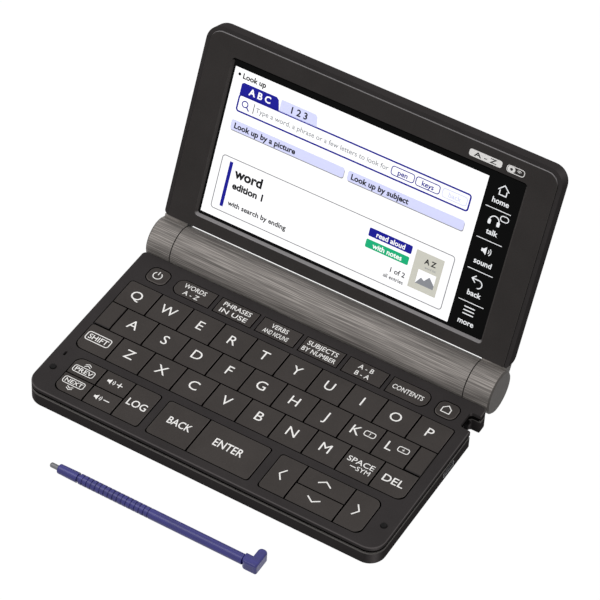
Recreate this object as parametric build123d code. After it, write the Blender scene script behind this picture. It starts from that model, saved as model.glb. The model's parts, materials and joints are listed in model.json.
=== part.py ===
from build123d import *
import math
import os

# Hinged pocket electronic dictionary, lid open, with its stylus lying in front.
# X to the right, Y towards the hinge, Z up. Places below are counted from the middle
# of the base on the resting plane; what is written out is moved by ORIGIN_Y, so that
# its origin lies under the middle of the whole. All sizes are in millimetres.

os.makedirs("parts", exist_ok=True)

# ---- overall sizes ----
WIDTH = 148.0
DEPTH = 98.2
BARREL_R = 8.7
BARREL_LIFT = 1.0            # underside of the barrel above the table
FOOT_HEIGHT = 0.8
DECK_Z = 9.75                # top of the keyboard deck
SPLIT_Z = 7.5                # joint between lower and upper case
CORNER_R = 6.5
REAR_R = 2.0                 # rear corners of the base
OPEN_ANGLE = 112.2           # lid opening at rest, measured from closed
ORIGIN_Y = 4.05              # middle of the open lid, base and stylus together

# ---- walls and clearances ----
CASE_WALL = 1.5
FLOOR_THICKNESS = 1.2
DECK_THICKNESS = 1.4
GROOVE_WIDTH = 0.9
GROOVE_DEPTH = 0.9
LIP_SOFT = 0.4               # outer top edge of the lower case
EDGE_SOFT = 0.7
BARREL_CLEARANCE = 0.35      # case to the barrel
FIT = 0.15                   # loose fit between fixed pieces
RUNNING_FIT = 0.05           # radial, hinge shaft in its bush

# ---- keys ----
KEY_GAP = 0.7
BLANK_GROOVE = 0.7           # depth of the groove round the two blank pads
OPENING_GAP = 0.45           # key to deck
KEY_PROUD = 0.3              # key tops above the deck
KEY_HEIGHT = 1.95
KEY_TRAVEL = 0.7
KEY_EDGE = 0.15
STRIP_DEPTH = 1.9            # sloping strip along a key's front
STRIP_DROP = 0.4
SIDE_MARGIN = 4.5            # case side to the letter keys
FRONT_MARGIN = 3.7           # case front to the front row
CLUSTER_DEPTH = 17.8
CLUSTER_SPLIT = 9.0          # front row's short keys, from its front
CLUSTER_GAP = 3.5            # front row to the letter keys
DICT_GAP = 3.1               # letter keys to the dictionary keys
DICT_DEPTH = 7.5
DICT_SPACING = 2.35
DICT_END_R = 3.0
REAR_MARGIN = 5.1            # dictionary keys to the rear of the deck
ROUND_KEY_INSET = 7.75       # case side to the power and home keys
ROUND_KEY_SIZE = 8.3
ROUND_KEY_R = 2.6
ROUND_KEY_GAP = 3.75         # power or home key to the dictionary keys
CLUSTER_R = 3.0
SMALL_R = 1.2

# Front row, left to right, in letter key pitches from the middle.
SIDE_COLUMNS = (-4.64, -3.73, -2.83, -2.01)
BACK_KEY_COLUMNS = (-1.79, -0.53)
ENTER_KEY_COLUMNS = (-0.53, 1.34)
CURSOR_COLUMNS = (1.61, 2.41, 3.83, 4.63)

# ---- barrel, battery and hinge ----
END_CAP_LENGTH = 10.6
CAP_EDGE = 0.6
SEAM = 0.4
BARREL_WALL = 1.2
BORE_END = 2.5               # wall between the battery bore and a bush
CELL_FIT = 0.35
CELL_NUB_R = 2.7
CELL_NUB_LENGTH = 1.2
CELL_INSULATION = 0.1
CONTACT_THICKNESS = 0.4
CONTACT_ROOM = 6.5           # end of the bore to the end of the cells
COVER_END = 3.0              # end of the bore to the end of the battery cover
COVER_FACING = -50.0         # degrees above the horizontal that the cover faces
COVER_SPAN = 170.0           # degrees of the barrel that it covers
SHAFT_R = 2.5
SHAFT_REACH_IN = 2.9
SHAFT_REACH_OUT = 8.0
BUSH_R = 4.6
BUSH_LENGTH = 3.5
TONGUE_DEPTH = 3.55
TONGUE_DROP = 5.4            # underside of the tongue below the barrel axis
TONGUE_THICKNESS = 1.15

# ---- lid, in its own plane: x, s up from the hinge axis, d out of the screen side ----
LID_OVERHANG = 0.3           # closed lid past the front of the base
LID_FOOT_GAP = 1.05          # barrel to the lid's foot
LID_GAP = 0.4                # key tops to the closed lid
LID_THICKNESS = 7.25
LID_WALL = 1.6
LID_BACK = 1.3
LID_BACK_EDGE = 1.6
LID_FOOT_EDGE = 3.5
LID_RIM_DROP = 0.4
BEZEL_GAP = 0.12
BEZEL_SOFT = 0.35
BEZEL_THICKNESS = 1.2
SCREEN_SIDE = 13.1           # lid side to the clear opening at the touch panel
SCREEN_FOOT = 5.65
SCREEN_HEAD = 10.3
SCREEN_CORNER_R = 0.8
BEZEL_SLOPE = 36.0           # degrees, walls of the screen recess
PANEL_MARGIN = 2.2
PANEL_THICKNESS = 0.7
DISPLAY_THICKNESS = 1.6
DISPLAY_INSET = 1.2
FRAME_THICKNESS = 0.5
FRAME_SIDE = 3.6             # lid side to the display frame
BOSS_SIDE = 6.6
BOSS_END = 10.0
BOSS_R = 2.2
LID_SCREW_HEAD_R = 1.6
LID_SCREW_HEAD = 0.8
NECK_S0 = 4.5
NECK_THICKNESS = 5.1

# ---- inside the base ----
BOARD_THICKNESS = 1.2
BOARD_SIDE = 5.0
BOARD_WAIST_SIDE = 8.0
BOARD_WAIST = 23.0
BOARD_MARGIN = 2.7
BOARD_GAP = 0.2
MEMBRANE_THICKNESS = 0.6
PAD_HEIGHT = 0.4
PAD_CLEARANCE = 0.1          # pad to key at the end of its travel
PAD_SIZE = 6.0
RIB_WIDTH = 1.2
RIB_COUNT = 4
RIB_LEFT = 44.0
RIB_RIGHT = 16.0
CHIP_HEIGHT = 1.3
CHIPS = ((-12.0, 2, 14.0), (14.0, 2, 10.0), (38.0, 3, 9.0))  # x, bay between ribs, size
SPEAKER_R = 8.0
SPEAKER_HEIGHT = 3.0
SPEAKER_SIDE = 24.0
SPEAKER_Y = -8.0
SPEAKER_HOLE_R = 0.6
SPEAKER_HOLE_RING = 4.0
SOCKET_Y = 3.0
SOCKET_WIDTH = 8.0
SOCKET_HEIGHT = 2.9
SOCKET_DEPTH = 5.2
SOCKET_WALL = 0.35
SOCKET_INSET = 0.15          # mouth of the socket inside the case's side
SCREW_SIDE = 4.7
SCREW_FRONT = 16.1
SCREW_REAR = 2.35
SCREW_REAR_SIDE = 18.0
SCREW_R = 0.8
SCREW_HEAD_R = 1.5
SCREW_HEAD = 0.9
SCREW_BOSS_R = 2.0
FOOT_SIDE = 12.0
FOOT_FRONT = 9.1
FOOT_REAR_SIDE = 16.0
FOOT_REAR = 9.35
FOOT_R = 3.6
BUMPER_SIDE = 4.4
BUMPER_FRONT = 12.1
BUMPER_R = 1.15
BUMPER_PROUD = 0.6
BUMPER_SOFT = 0.3
BUMPER_SEAT = 0.5
MIC_FRONT = 20.1
MIC_LENGTH = 2.4
MIC_WIDTH = 0.9

# ---- stylus seat at the right rear ----
NOTCH_DEPTH = 4.4
NOTCH_WIDTH = 8.3
NOTCH_REAR = 4.85
NOTCH_WALL = 1.2
NOTCH_R = 1.4
TUBE_INSET = 2.9             # notch rear to the stylus tube
TUBE_R = 2.6
TUBE_WALL = 0.35
TUBE_LENGTH = 81.0

# ---- stylus ----
STYLUS_AWAY = 21.9           # stylus axis in front of the base
STYLUS_TIP_X = -48.0
STYLUS_R = 2.0
TIP_R = 0.95
TIP_LENGTH = 3.6
TIP_SOCKET = 3.0
TIP_CORE_R = 0.65
NOSE_R = 1.85
NOSE_LENGTH = 8.3
NOSE_SOFT = 0.6
NECK_R = 1.45
NECK_LENGTH = 1.0
RING_COUNT = 16
RING_PITCH = 1.85
RING_WIDTH = 1.25
RING_GROOVE = 0.3
SHAFT_LENGTH = 38.5
HEAD_LENGTH = 6.4
HEAD_WIDTH = 4.3
HEAD_HEIGHT = 4.2
FOOT_WIDTH = 3.6
FOOT_REACH = 4.4
FOOT_ROUND = 1.6
HEAD_ROUND = 1.9             # start of the head on the side away from the foot
HEAD_SOFT = 0.7

# ---- worked out from the above: case and barrel ----
HALF_X = WIDTH / 2
FRONT_Y = -DEPTH / 2
AXIS_Y = DEPTH / 2 - BARREL_R
AXIS_Z = BARREL_LIFT + BARREL_R
CASE_REAR_Y = AXIS_Y - BARREL_R - BARREL_CLEARANCE
DECK_UNDER_Z = DECK_Z - DECK_THICKNESS
FLOOR_Z = FOOT_HEIGHT + FLOOR_THICKNESS
CENTRE_HALF = HALF_X - END_CAP_LENGTH - SEAM
BORE_R = BARREL_R - BARREL_WALL
BORE_HALF = CENTRE_HALF - BUSH_LENGTH - BORE_END
COVER_HALF = BORE_HALF - COVER_END
CELL_R = BORE_R - CELL_FIT
CELL_LENGTH = BORE_HALF - CONTACT_ROOM
TONGUE_Z = AXIS_Z - TONGUE_DROP
TONGUE_TOP_Z = TONGUE_Z + TONGUE_THICKNESS
TONGUE_FRONT_Y = CASE_REAR_Y - TONGUE_DEPTH

# ---- keys ----
KEY_TOP_Z = DECK_Z + KEY_PROUD
KEY_UNDER_Z = KEY_TOP_Z - KEY_HEIGHT
CLUSTER_FRONT_Y = FRONT_Y + FRONT_MARGIN
CLUSTER_BACK_Y = CLUSTER_FRONT_Y + CLUSTER_DEPTH
CLUSTER_SPLIT_Y = CLUSTER_FRONT_Y + CLUSTER_SPLIT
LETTERS_FRONT_Y = CLUSTER_BACK_Y + CLUSTER_GAP
DICT_BACK_Y = CASE_REAR_Y - REAR_MARGIN
DICT_FRONT_Y = DICT_BACK_Y - DICT_DEPTH
KEY_PITCH_X = (WIDTH - 2 * SIDE_MARGIN) / 10
KEY_PITCH_Y = (DICT_FRONT_Y - DICT_GAP - LETTERS_FRONT_Y) / 3
ROUND_KEY_X0 = HALF_X - ROUND_KEY_INSET - ROUND_KEY_SIZE
DICT_HALF = ROUND_KEY_X0 - ROUND_KEY_GAP
DICT_PITCH = (2 * DICT_HALF + DICT_SPACING) / 6

# ---- lid ----
LID_TOP_S = AXIS_Y - FRONT_Y + LID_OVERHANG
LID_FOOT_S = BARREL_R + LID_FOOT_GAP
LID_FACE_D = AXIS_Z - KEY_TOP_Z - LID_GAP
LID_BACK_D = LID_FACE_D - LID_THICKNESS
SCREEN_HALF_X = HALF_X - SCREEN_SIDE
SCREEN_S0 = LID_FOOT_S + SCREEN_FOOT
SCREEN_S1 = LID_TOP_S - SCREEN_HEAD
PANEL_D = LID_FACE_D - BEZEL_THICKNESS
DISPLAY_D = PANEL_D - PANEL_THICKNESS
FRAME_D = DISPLAY_D - DISPLAY_THICKNESS
BOSS_D = FRAME_D - FRAME_THICKNESS

# ---- inside the base, and the stylus ----
PAD_TOP_Z = KEY_UNDER_Z - KEY_TRAVEL - PAD_CLEARANCE
BOARD_TOP_Z = PAD_TOP_Z - PAD_HEIGHT - MEMBRANE_THICKNESS
BOARD_Z = BOARD_TOP_Z - BOARD_THICKNESS
NOTCH_X = HALF_X - NOTCH_DEPTH
NOTCH_Y1 = CASE_REAR_Y - NOTCH_REAR
NOTCH_Y0 = NOTCH_Y1 - NOTCH_WIDTH
TUBE_Y = NOTCH_Y1 - TUBE_INSET
TUBE_Z = FLOOR_Z + TUBE_R
BOARD_FRONT_Y = FRONT_Y + BOARD_MARGIN
BOARD_REAR_Y = TUBE_Y - TUBE_R - BOARD_GAP
RIB_SPACING = (BOARD_REAR_Y - BOARD_FRONT_Y) / RIB_COUNT
FRONT_SCREWS = [(side * (HALF_X - SCREW_SIDE), FRONT_Y + SCREW_FRONT) for side in (-1, 1)]
REAR_SCREWS = [(k * (HALF_X - SCREW_REAR_SIDE), CASE_REAR_Y - SCREW_REAR) for k in (-1, 0, 1)]
SCREWS_AT = FRONT_SCREWS + REAR_SCREWS
STYLUS_Y = FRONT_Y - STYLUS_AWAY
STYLUS_Z = HEAD_HEIGHT / 2

LEAN = math.radians(180.0 - OPEN_ANGLE)
LID = Plane(
    origin=(0, AXIS_Y, AXIS_Z),
    x_dir=(1, 0, 0),
    z_dir=(0, -math.sin(LEAN), math.cos(LEAN)),
).location


# ---- small helpers ----
def outline(x0, x1, y0, y1, radii):
    """Rectangle with a radius for each corner: front left, front right, back right, back left."""
    face = Pos((x0 + x1) / 2, (y0 + y1) / 2) * Rectangle(x1 - x0, y1 - y0)
    corners = ((x0, y0), (x1, y0), (x1, y1), (x0, y1))
    for (x, y), radius in zip(corners, radii):
        if radius > 0:
            corner = face.vertices().sort_by_distance((x, y, 0))[0]
            face = fillet(corner, radius)
    return face


def slab(x0, x1, y0, y1, z0, z1, radii=(0, 0, 0, 0)):
    return Pos(0, 0, z0) * extrude(outline(x0, x1, y0, y1, radii), amount=z1 - z0)


def post(x, y, radius, z0, z1):
    return Pos(x, y, (z0 + z1) / 2) * Cylinder(radius, z1 - z0)


def rod(x0, x1, radius, y=AXIS_Y, z=AXIS_Z):
    return Pos((x0 + x1) / 2, y, z) * Rot(0, 90, 0) * Cylinder(radius, x1 - x0)


def both_sides(make):
    return [make(-1), make(1)]


# ---- the key plan: name, x0, x1, y0, y1, corner radii ----
def letter_row(letters, first, row):
    """row counts from the front; first is the row's left edge in pitches from the middle."""
    y0 = LETTERS_FRONT_Y + row * KEY_PITCH_Y
    cells = []
    for i, letter in enumerate(letters):
        x0 = (first + i) * KEY_PITCH_X
        cells.append([letter, x0, x0 + KEY_PITCH_X, y0, y0 + KEY_PITCH_Y, (0, 0, 0, 0)])
    return cells


def letter_plan():
    top = letter_row("qwertyuiop", -5, 2)
    top[0][5] = (0, 0, 0, SMALL_R)
    top[-1][5] = (0, 0, SMALL_R, 0)
    middle = letter_row("asdfghjkl", -4.5, 1)
    bottom = letter_row(["shift"] + list("zxcvbnm") + ["space", "delete"], -5, 0)
    bottom[0][5] = (CLUSTER_R, 0, 0, SMALL_R)
    bottom[-1][5] = (0, CLUSTER_R, 0, 0)
    return top + middle + bottom


def filler_plan():
    y0 = LETTERS_FRONT_Y + KEY_PITCH_Y
    y1 = y0 + KEY_PITCH_Y
    half = KEY_PITCH_X / 2
    edge = 5 * KEY_PITCH_X
    return [(-edge, -edge + half, y0, y1), (edge - half, edge, y0, y1)]


def dictionary_plan():
    cells = []
    for i in range(6):
        left = DICT_END_R if i == 0 else 0
        right = DICT_END_R if i == 5 else 0
        x0 = -DICT_HALF + i * DICT_PITCH
        x1 = x0 + DICT_PITCH - DICT_SPACING
        cells.append([i, x0, x1, DICT_FRONT_Y, DICT_BACK_Y, (left, right, right, left)])
    return cells


def round_key_plan(side):
    x0, x1 = sorted((side * ROUND_KEY_X0, side * (ROUND_KEY_X0 + ROUND_KEY_SIZE)))
    return (x0, x1, DICT_FRONT_Y, DICT_BACK_Y, (ROUND_KEY_R,) * 4)


def columns(pitches):
    return [p * KEY_PITCH_X for p in pitches]


def side_plan():
    a, b, c, d = columns(SIDE_COLUMNS)
    front, split, back = CLUSTER_FRONT_Y, CLUSTER_SPLIT_Y, CLUSTER_BACK_Y
    return [
        (a, b, split, back, (0, 0, 0, CLUSTER_R)),
        (a, b, front, split, (CLUSTER_R, 0, 0, 0)),
        (b, c, split, back, (0, 0, 0, 0)),
        (b, c, front, split, (0, 0, 0, 0)),
        (c, d, front, back, (0, SMALL_R, SMALL_R, 0)),
    ]


def cursor_plan():
    a, b, c, d = columns(CURSOR_COLUMNS)
    front, split, back = CLUSTER_FRONT_Y, CLUSTER_SPLIT_Y, CLUSTER_BACK_Y
    return [
        (a, b, front, back, (SMALL_R, 0, 0, SMALL_R)),
        (b, c, split, back, (0, 0, 0, 0)),
        (b, c, front, split, (0, 0, 0, 0)),
        (c, d, front, back, (0, CLUSTER_R, CLUSTER_R, 0)),
    ]


def middle_plan():
    front, back = CLUSTER_FRONT_Y, CLUSTER_BACK_Y
    return {
        "back_key": (*columns(BACK_KEY_COLUMNS), front, back, (SMALL_R, 0, 0, SMALL_R)),
        "enter_key": (*columns(ENTER_KEY_COLUMNS), front, back, (0, SMALL_R, SMALL_R, 0)),
    }


def key_cap(x0, x1, y0, y1, radii, under=KEY_UNDER_Z, gap=KEY_GAP / 2):
    """Flat-topped key with a sloping strip along its front edge."""
    cap = slab(x0 + gap, x1 - gap, y0 + gap, y1 - gap, under, KEY_TOP_Z, radii)
    cap = chamfer(cap.faces().sort_by(Axis.Z)[-1].edges(), KEY_EDGE)
    front = y0 + gap
    slope = Polygon(
        (front, KEY_TOP_Z - STRIP_DROP),
        (front + STRIP_DEPTH, KEY_TOP_Z),
        (front, KEY_TOP_Z),
        align=None,
    )
    return cap - Pos(x0, 0, 0) * extrude(Plane.YZ * slope, amount=x1 - x0)


def round_cap(x0, x1, y0, y1, radii, gap=0):
    """Flat-topped key with softened edges all round."""
    cap = slab(x0 + gap, x1 - gap, y0 + gap, y1 - gap, KEY_UNDER_Z, KEY_TOP_Z, radii)
    return chamfer(cap.faces().sort_by(Axis.Z)[-1].edges(), 2 * KEY_EDGE)


def key_opening(x0, x1, y0, y1, radii, grow, bottom=SPLIT_Z):
    radii = tuple(r + grow if r > 0 else 0 for r in radii)
    return slab(x0 - grow, x1 + grow, y0 - grow, y1 + grow, bottom, KEY_TOP_Z + 1, radii)


# ---- base ----
def screw_posts(places, radius, z0, z1):
    return [post(x, y, radius, z0, z1) for x, y in places]


def speaker_holes():
    """One sound hole in the middle of the speaker and a ring of six round it."""
    x, y = -HALF_X + SPEAKER_SIDE, SPEAKER_Y
    turns = [math.radians(60 * i) for i in range(6)]
    ring = SPEAKER_HOLE_RING
    return [(x, y)] + [(x + ring * math.cos(a), y + ring * math.sin(a)) for a in turns]


def bumper_places():
    return [(side * (HALF_X - BUMPER_SIDE), FRONT_Y + BUMPER_FRONT) for side in (-1, 1)]


def base_radii(inset=0.0):
    rear = max(REAR_R - inset, 0)
    return (CORNER_R - inset, CORNER_R - inset, rear, rear)


def notch_cut():
    return slab(NOTCH_X, HALF_X + 1, NOTCH_Y0, NOTCH_Y1, 0, DECK_Z + 1, (NOTCH_R, 0, 0, NOTCH_R))


def lower_case():
    case = slab(-HALF_X, HALF_X, FRONT_Y, CASE_REAR_Y, FOOT_HEIGHT, SPLIT_Z - GROOVE_WIDTH,
                base_radii())
    case = fillet(case.edges().group_by(Axis.Z)[0], EDGE_SOFT)
    case = fillet(case.faces().sort_by(Axis.Z)[-1].edges(), LIP_SOFT)
    lip = GROOVE_DEPTH
    case += slab(-HALF_X + lip, HALF_X - lip, FRONT_Y + lip, CASE_REAR_Y, FLOOR_Z, SPLIT_Z,
                 base_radii(lip))
    case -= slab(-HALF_X + CASE_WALL, HALF_X - CASE_WALL, FRONT_Y + CASE_WALL, CASE_REAR_Y + 1,
                 FLOOR_Z, SPLIT_Z + 1, (CORNER_R - CASE_WALL, CORNER_R - CASE_WALL, 0, 0))
    case += slab(NOTCH_X - NOTCH_WALL, HALF_X - lip, NOTCH_Y0 - NOTCH_WALL, NOTCH_Y1 + NOTCH_WALL,
                 FLOOR_Z - FIT, SPLIT_Z)
    case -= notch_cut()
    case -= rod(NOTCH_X - NOTCH_WALL - 1, NOTCH_X + 1, TUBE_R + RUNNING_FIT, TUBE_Y, TUBE_Z)
    for i in range(RIB_COUNT):
        y = BOARD_FRONT_Y + (i + 0.5) * RIB_SPACING
        case += slab(-HALF_X + RIB_LEFT, HALF_X - RIB_RIGHT, y - RIB_WIDTH / 2, y + RIB_WIDTH / 2,
                     FLOOR_Z - FIT, BOARD_Z)
    case -= slab(HALF_X - CASE_WALL - 1, HALF_X + 1, SOCKET_Y - SOCKET_WIDTH / 2 - FIT,
                 SOCKET_Y + SOCKET_WIDTH / 2 + FIT, BOARD_Z - SOCKET_HEIGHT - FIT, BOARD_Z + FIT)
    case += slab(-HALF_X + REAR_R, NOTCH_X, CASE_REAR_Y - CASE_WALL, CASE_REAR_Y,
                 FLOOR_Z - FIT, TONGUE_Z)
    for x, y in SCREWS_AT:
        top = TONGUE_Z if (x, y) in REAR_SCREWS else SPLIT_Z
        case += post(x, y, SCREW_BOSS_R, FLOOR_Z - FIT, top)
        case -= post(x, y, SCREW_R + FIT, 0, SPLIT_Z + 1)
        case -= post(x, y, SCREW_HEAD_R + FIT, 0, FOOT_HEIGHT + SCREW_HEAD)
    for x, y in speaker_holes():
        case -= post(x, y, SPEAKER_HOLE_R, 0, FLOOR_Z + FIT)
    return case


def deck_openings(grow):
    cuts = [key_opening(*cell[1:6], grow) for cell in letter_plan()]
    cuts += [key_opening(*cell, grow) for cell in side_plan() + cursor_plan()]
    cuts += [key_opening(*cell, grow) for cell in middle_plan().values()]
    cuts += [key_opening(*cell[1:6], OPENING_GAP) for cell in dictionary_plan()]
    cuts += [key_opening(*round_key_plan(side), OPENING_GAP) for side in (-1, 1)]
    return cuts


def upper_case():
    deck = slab(-HALF_X, HALF_X, FRONT_Y, CASE_REAR_Y, SPLIT_Z, DECK_Z, base_radii())
    rim = deck.faces().sort_by(Axis.Z)[-1].edges().filter_by(
        lambda edge: edge.center().Y < CASE_REAR_Y - REAR_R / 4)
    deck = fillet(rim, EDGE_SOFT)
    deck -= slab(-HALF_X + CASE_WALL, HALF_X - CASE_WALL, FRONT_Y + CASE_WALL,
                 CASE_REAR_Y - NOTCH_WALL, SPLIT_Z - 1, DECK_UNDER_Z, base_radii(CASE_WALL))
    skirt_half = HALF_X - REAR_R
    deck += slab(-skirt_half, skirt_half, CASE_REAR_Y - NOTCH_WALL, CASE_REAR_Y,
                 TONGUE_TOP_Z + FIT, SPLIT_Z + 1)
    grow = OPENING_GAP - KEY_GAP / 2
    for cut in deck_openings(grow):
        deck -= cut
    for x0, x1, y0, y1 in filler_plan():
        deck -= key_opening(x0, x1, y0, y1, (0, 0, 0, 0), grow, bottom=DECK_Z - BLANK_GROOVE)
        deck += key_cap(x0, x1, y0, y1, (0, 0, 0, 0), under=DECK_UNDER_Z)
    deck += slab(NOTCH_X - NOTCH_WALL, HALF_X - 1, NOTCH_Y0 - NOTCH_WALL, NOTCH_Y1 + NOTCH_WALL,
                 SPLIT_Z, DECK_UNDER_Z + FIT)
    deck -= notch_cut()
    deck -= rod(NOTCH_X - NOTCH_WALL - 1, NOTCH_X + 1, TUBE_R + RUNNING_FIT, TUBE_Y, TUBE_Z)
    for boss in screw_posts(FRONT_SCREWS, SCREW_BOSS_R, SPLIT_Z, DECK_UNDER_Z + FIT):
        deck += boss
    for boss in screw_posts(REAR_SCREWS, SCREW_BOSS_R, TONGUE_TOP_Z + FIT, DECK_UNDER_Z + FIT):
        deck += boss
    for hole in screw_posts(SCREWS_AT, SCREW_R + RUNNING_FIT, 0, DECK_UNDER_Z - FIT):
        deck -= hole
    for x, y in bumper_places():
        deck -= post(x, y, BUMPER_R + FIT, DECK_Z - BUMPER_SEAT, DECK_Z + 1)
    mic = extrude(Rot(0, 0, 90) * SlotOverall(MIC_LENGTH, MIC_WIDTH), amount=DECK_THICKNESS + 2)
    return deck - Pos(-HALF_X + BUMPER_SIDE, FRONT_Y + MIC_FRONT, DECK_UNDER_Z - 1) * mic


def cover_wedge(half_length, inset):
    """The part of the barrel's length and circle that the battery cover takes up."""
    reach = 2 * BARREL_R
    angles = [math.radians(COVER_FACING + k * COVER_SPAN / 2) for k in (-1, -0.4, 0.4, 1)]
    corners = [(reach * math.cos(a), reach * math.sin(a)) for a in angles]
    wedge = extrude(Plane.YZ * Polygon((0, 0), *corners, align=None), amount=2 * half_length)
    facing = math.radians(COVER_FACING)
    y = AXIS_Y + inset * math.cos(facing)
    z = AXIS_Z + inset * math.sin(facing)
    return Pos(-half_length, y, z) * wedge


def barrel_shell():
    shell = rod(-CENTRE_HALF, CENTRE_HALF, BARREL_R)
    tongue_half = CENTRE_HALF - 3 * SEAM
    tongue_rear = AXIS_Y - BORE_R / 2
    shell += slab(-tongue_half, tongue_half, TONGUE_FRONT_Y, tongue_rear, TONGUE_Z, TONGUE_TOP_Z)
    shell -= rod(-BORE_HALF, BORE_HALF, BORE_R)
    for side in (-1, 1):
        ends = sorted((side * (CENTRE_HALF - BUSH_LENGTH), side * (CENTRE_HALF + 1)))
        shell -= rod(*ends, BUSH_R + RUNNING_FIT)
    shell -= cover_wedge(COVER_HALF + FIT, 0)
    for hole in screw_posts(REAR_SCREWS, SCREW_R + FIT, 0, TONGUE_TOP_Z + 1):
        shell -= hole
    return shell


def battery_cover():
    tube = rod(-COVER_HALF, COVER_HALF, BARREL_R) - rod(-COVER_HALF, COVER_HALF, BORE_R)
    return tube & cover_wedge(COVER_HALF, FIT)


def battery_cells():
    cells = []
    for i in range(2):
        x0 = (i - 1) * CELL_LENGTH
        body_end = x0 + CELL_LENGTH - CELL_NUB_LENGTH
        cell = rod(x0 + CELL_INSULATION, body_end, CELL_R)
        cell = fillet(cell.edges(), EDGE_SOFT)
        cell += rod(body_end - FIT, x0 + CELL_LENGTH, CELL_NUB_R)
        cells.append(cell)
    return cells


def battery_contacts():
    """A plate at each end of the bore, with a stepped boss that presses on the cell."""
    contacts = []
    for side in (-1, 1):
        wall = side * BORE_HALF
        plate = rod(*sorted((wall, wall - side * CONTACT_THICKNESS)), CELL_R)
        reach = side * (CELL_LENGTH + CELL_INSULATION)
        plate += rod(*sorted((wall, reach)), CELL_NUB_R)
        step = wall - side * (BORE_HALF - CELL_LENGTH) / 2
        plate += rod(*sorted((wall, step)), 1.6 * CELL_NUB_R)
        contacts.append(plate)
    return contacts


def hinge_bushes():
    def bush(side):
        ends = sorted((side * (CENTRE_HALF - BUSH_LENGTH), side * CENTRE_HALF))
        return rod(*ends, BUSH_R) - rod(*ends, SHAFT_R + RUNNING_FIT)
    return both_sides(bush)


# ---- lid hinge pieces ----
def hinge_shafts():
    def shaft(side):
        inner = HALF_X - END_CAP_LENGTH - SHAFT_REACH_IN
        outer = HALF_X - END_CAP_LENGTH + SHAFT_REACH_OUT
        return rod(*sorted((side * inner, side * outer)), SHAFT_R)
    return both_sides(shaft)


def hinge_caps():
    """Barrel ends that turn with the lid, each with a neck up to the lid's foot."""
    caps = []
    for side in (-1, 1):
        inner = side * (HALF_X - END_CAP_LENGTH)
        outer = side * HALF_X
        cap = rod(*sorted((inner, outer)), BARREL_R)
        rim = cap.faces().sort_by(Axis.X)[-1 if side > 0 else 0].edges()
        cap = chamfer(rim, CAP_EDGE)
        x0, x1 = sorted((inner, outer - side * CAP_EDGE))
        cap += LID * slab(x0, x1, NECK_S0, LID_FOOT_S, LID_FACE_D - FIT - NECK_THICKNESS,
                          LID_FACE_D - FIT)
        reach = HALF_X - END_CAP_LENGTH + SHAFT_REACH_OUT
        cap -= rod(*sorted((inner - side, side * (reach + FIT))), SHAFT_R + FIT / 5)
        caps.append(cap)
    return caps


# ---- lid ----
def lid_radii(inset=0.0):
    return (0, 0, CORNER_R - inset, CORNER_R - inset)


def boss_places():
    low, high = LID_FOOT_S + BOSS_END, LID_TOP_S - BOSS_END
    rows = (low, (low + high) / 2, high)
    return [(side * (HALF_X - BOSS_SIDE), s) for side in (-1, 1) for s in rows]


def lid_cover():
    rim_d = LID_FACE_D - LID_RIM_DROP
    shell = slab(-HALF_X, HALF_X, LID_FOOT_S, LID_TOP_S, LID_BACK_D, rim_d, lid_radii())
    back_edges = shell.faces().sort_by(Axis.Z)[0].edges()
    foot_edge = back_edges.sort_by(Axis.Y)[0]
    shell = fillet(foot_edge, LID_FOOT_EDGE)
    back_edges = shell.faces().sort_by(Axis.Z)[0].edges().filter_by(
        lambda edge: edge.center().Y > LID_FOOT_S + LID_FOOT_EDGE + 1)
    shell = fillet(back_edges, LID_BACK_EDGE)
    foot_wall = LID_FOOT_S + LID_FOOT_EDGE
    shell -= slab(-HALF_X + LID_WALL, HALF_X - LID_WALL, foot_wall, LID_TOP_S - LID_WALL,
                  LID_BACK_D + LID_BACK, rim_d + 1, lid_radii(LID_WALL))
    shell -= slab(-HALF_X + LID_WALL, HALF_X - LID_WALL, LID_FOOT_S - 1, foot_wall + 1,
                  PANEL_D, rim_d + 1)
    for x, s in boss_places():
        shell += post(x, s, BOSS_R, LID_BACK_D + LID_BACK - FIT, BOSS_D)
        shell -= post(x, s, SCREW_R + RUNNING_FIT, LID_BACK_D + LID_BACK, BOSS_D + 1)
    return LID * shell


def lid_bezel():
    side = HALF_X - LID_WALL - BEZEL_GAP
    top = LID_TOP_S - LID_WALL - BEZEL_GAP
    plate = slab(-side, side, LID_FOOT_S, top, PANEL_D, LID_FACE_D, lid_radii(LID_WALL + BEZEL_GAP))
    edge = plate.faces().sort_by(Axis.Z)[-1].edges().filter_by(
        lambda e: e.center().Y > LID_FOOT_S + 1)
    plate = fillet(edge, BEZEL_SOFT)
    window = outline(-SCREEN_HALF_X, SCREEN_HALF_X, SCREEN_S0, SCREEN_S1, (SCREEN_CORNER_R,) * 4)
    plate -= Pos(0, 0, PANEL_D) * extrude(window, amount=BEZEL_THICKNESS, taper=-BEZEL_SLOPE)
    return LID * plate


def touch_panel():
    m = PANEL_MARGIN
    return LID * slab(-SCREEN_HALF_X - m, SCREEN_HALF_X + m, SCREEN_S0 - m, SCREEN_S1 + m,
                      DISPLAY_D, PANEL_D)


def display_module():
    m = PANEL_MARGIN - DISPLAY_INSET
    return LID * slab(-SCREEN_HALF_X - m, SCREEN_HALF_X + m, SCREEN_S0 - m, SCREEN_S1 + m,
                      FRAME_D, DISPLAY_D)


def display_frame():
    half = HALF_X - FRAME_SIDE
    frame = slab(-half, half, SCREEN_S0 - PANEL_MARGIN, SCREEN_S1 + PANEL_MARGIN, BOSS_D, FRAME_D)
    for x, s in boss_places():
        frame -= post(x, s, SCREW_R + FIT, BOSS_D - 1, FRAME_D + 1)
    return LID * frame


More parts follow.
